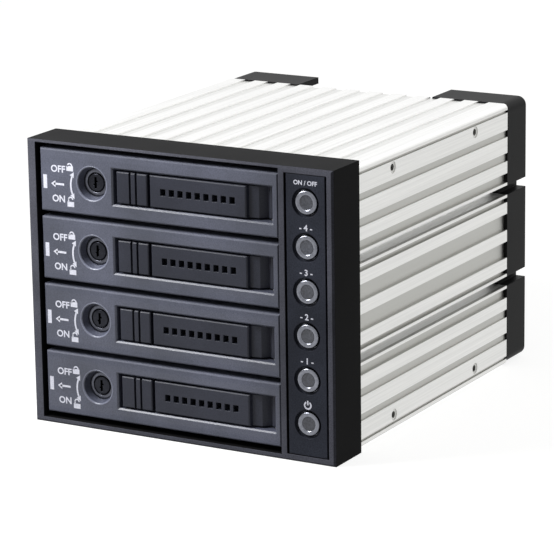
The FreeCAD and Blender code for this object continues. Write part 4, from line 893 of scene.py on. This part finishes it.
def rotor_blade(turn, depth):
    """A closed, twisted and cambered blade from inside the hub to the tip."""
    mesh = bpy.data.meshes.new("blade")
    shape = bmesh.new()
    steps_out, steps_over = 9, 10
    sides = []
    for face in (1, -1):
        rows = []
        for i in range(steps_out + 1):
            share = i / steps_out
            radius = ROOT_RADIUS + (TIP_RADIUS - ROOT_RADIUS) * share
            chord = ROOT_CHORD + (TIP_CHORD - ROOT_CHORD) * share
            pitch = ROOT_PITCH + (TIP_PITCH - ROOT_PITCH) * share
            thickness = ROOT_THICKNESS + (TIP_THICKNESS - ROOT_THICKNESS) * share
            row = []
            for j in range(steps_over + 1):
                along = j / steps_over - 0.5
                bow = CAMBER * chord * (1 - 4 * along * along)
                body = (math.sqrt(max(0.0, 1 - (2 * along) ** 4)) * 0.5 * thickness
                        + HALF_EDGE)
                out = bow + face * body
                around = chord * along * math.cos(pitch) - out * math.sin(pitch)
                back = chord * along * math.sin(pitch) + out * math.cos(pitch)
                angle = turn + SWEEP * share * share + around / radius
                row.append(shape.verts.new((radius * math.cos(angle) / 1000,
                                            (depth + back) / 1000,
                                            radius * math.sin(angle) / 1000)))
            rows.append(row)
        sides.append(rows)
        for i in range(steps_out):
            for j in range(steps_over):
                shape.faces.new((rows[i][j], rows[i + 1][j], rows[i + 1][j + 1],
                                 rows[i][j + 1]))
    upper, lower = sides
    for i in range(steps_out):
        for j in (0, steps_over):
            shape.faces.new((upper[i][j], upper[i + 1][j], lower[i + 1][j], lower[i][j]))
    for j in range(steps_over):
        for i in (0, steps_out):
            shape.faces.new((upper[i][j], upper[i][j + 1], lower[i][j + 1], lower[i][j]))
    bmesh.ops.recalc_face_normals(shape, faces=shape.faces)
    shape.to_mesh(mesh)
    shape.free()
    return mesh


rotor = joined([turned(HUB, sides=72)] + [rotor_blade(2 * math.pi * n / BLADES, BLADE_DEPTH)
                                    for n in range(BLADES)])
rotor.transform(Matrix.Translation(front_middle("fan_frame")
                                   + Vector((0, HUB_SET_BACK / 1000, 0))))
piece = new_piece("fan_blades", rotor, fan_pbt, "fan_rotor")
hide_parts("fan_rotor")


# Screws and pins. Steel, cold headed with a cross recess, zinc plated inside the cage and
# blackened where they show on the fan. The levers turn on plain ground pins.

# Zinc plate is a pale grey with soft glints, black oxide a nearly black satin.
zinc_plate = plated_metal("zinc_plated_steel", "#A9AAA6", "#CBCCC8", roughness=0.3,
                          edge_round=0.0002)
black_oxide = plated_metal("black_oxide_on_steel", "#2A2A2C", "#3E3E40", roughness=0.4,
                           edge_round=0.0002)
# A pan head's profile, as shares of the head's radius and height, and its cross recess,
# as shares of the radius, the height and the width at the top.
PAN_HEAD = ((0.75, 0.1), (0.92, 0.28), (1.0, 0.6), (1.0, 1.0))
CROWN_SHARE, CROWN_DROP = 0.5, 0.03
CROSS_HALF, CROSS_REACH, CROSS_DEPTH, CROSS_TAPER = 0.13, 0.58, 0.75, 0.6
CROSS_CLEAR = 0.2
TIP_LENGTH, TIP_SHARE = 0.5, 0.6
# What lies past 0.9 of a packed screw's radius is its head's rim, within 0.8 its shank.
RIM_SHARE, SHANK_SHARE = 0.9, 0.8


def cross_head_screws(node, material, body):
    """Pan-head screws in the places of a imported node's screws."""
    screws = []
    for points in solids_of(node):
        low, high = corners(points)
        middle = (low + high) / 2
        head = (high.x - low.x) / 2
        reach = [math.hypot(p.x - middle.x, p.z - middle.z) for p in points]
        rim = [p.y for p, r in zip(points, reach) if r > RIM_SHARE * head]
        shank = max(r for r in reach if r < SHANK_SHARE * head)
        faces_forward = sum(rim) / len(rim) < middle.y
        r, s = head * 1000, shank * 1000
        cap, length = (max(rim) - min(rim)) * 1000, (high.y - low.y) * 1000
        mesh = turned([(0, 0), (r * CROWN_SHARE, CROWN_DROP)]
                      + [(r * out, cap * down) for out, down in PAN_HEAD]
                      + [(s, cap), (s, length - TIP_LENGTH), (s * TIP_SHARE, length),
                         (0, length)], sides=32)
        w, end = r * CROSS_HALF, r * CROSS_REACH
        cross = [(w, end), (w, w), (end, w), (end, -w), (w, -w), (w, -end), (-w, -end),
                 (-w, -w), (-end, -w), (-end, w), (-w, w), (-w, end)]
        mesh = cut_out(mesh, prism(cross, -CROSS_CLEAR, cap * CROSS_DEPTH, CROSS_TAPER))
        if faces_forward:
            mesh.transform(Matrix.Translation((middle.x, low.y, middle.z)))
        else:
            mesh.transform(Matrix.Translation((middle.x, high.y, middle.z))
                           @ Matrix.Rotation(math.pi, 4, "Z"))
        screws.append(mesh)
    piece = new_piece(node.replace("screws", "cross_heads"), joined(screws), material, body)
    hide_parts(node)


for node in ("bezel_screws", "cap_screws", "board_screws", "control_board_screws"):
    cross_head_screws(node, zinc_plate, "cage")
cross_head_screws("fan_screws", black_oxide, "cage")
for number in TRAYS:
    cross_head_screws(f"tray_screws_{number}", zinc_plate, f"tray_{number}")
    dress(f"lever_pin_{number}", zinc_plate)


low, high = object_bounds()
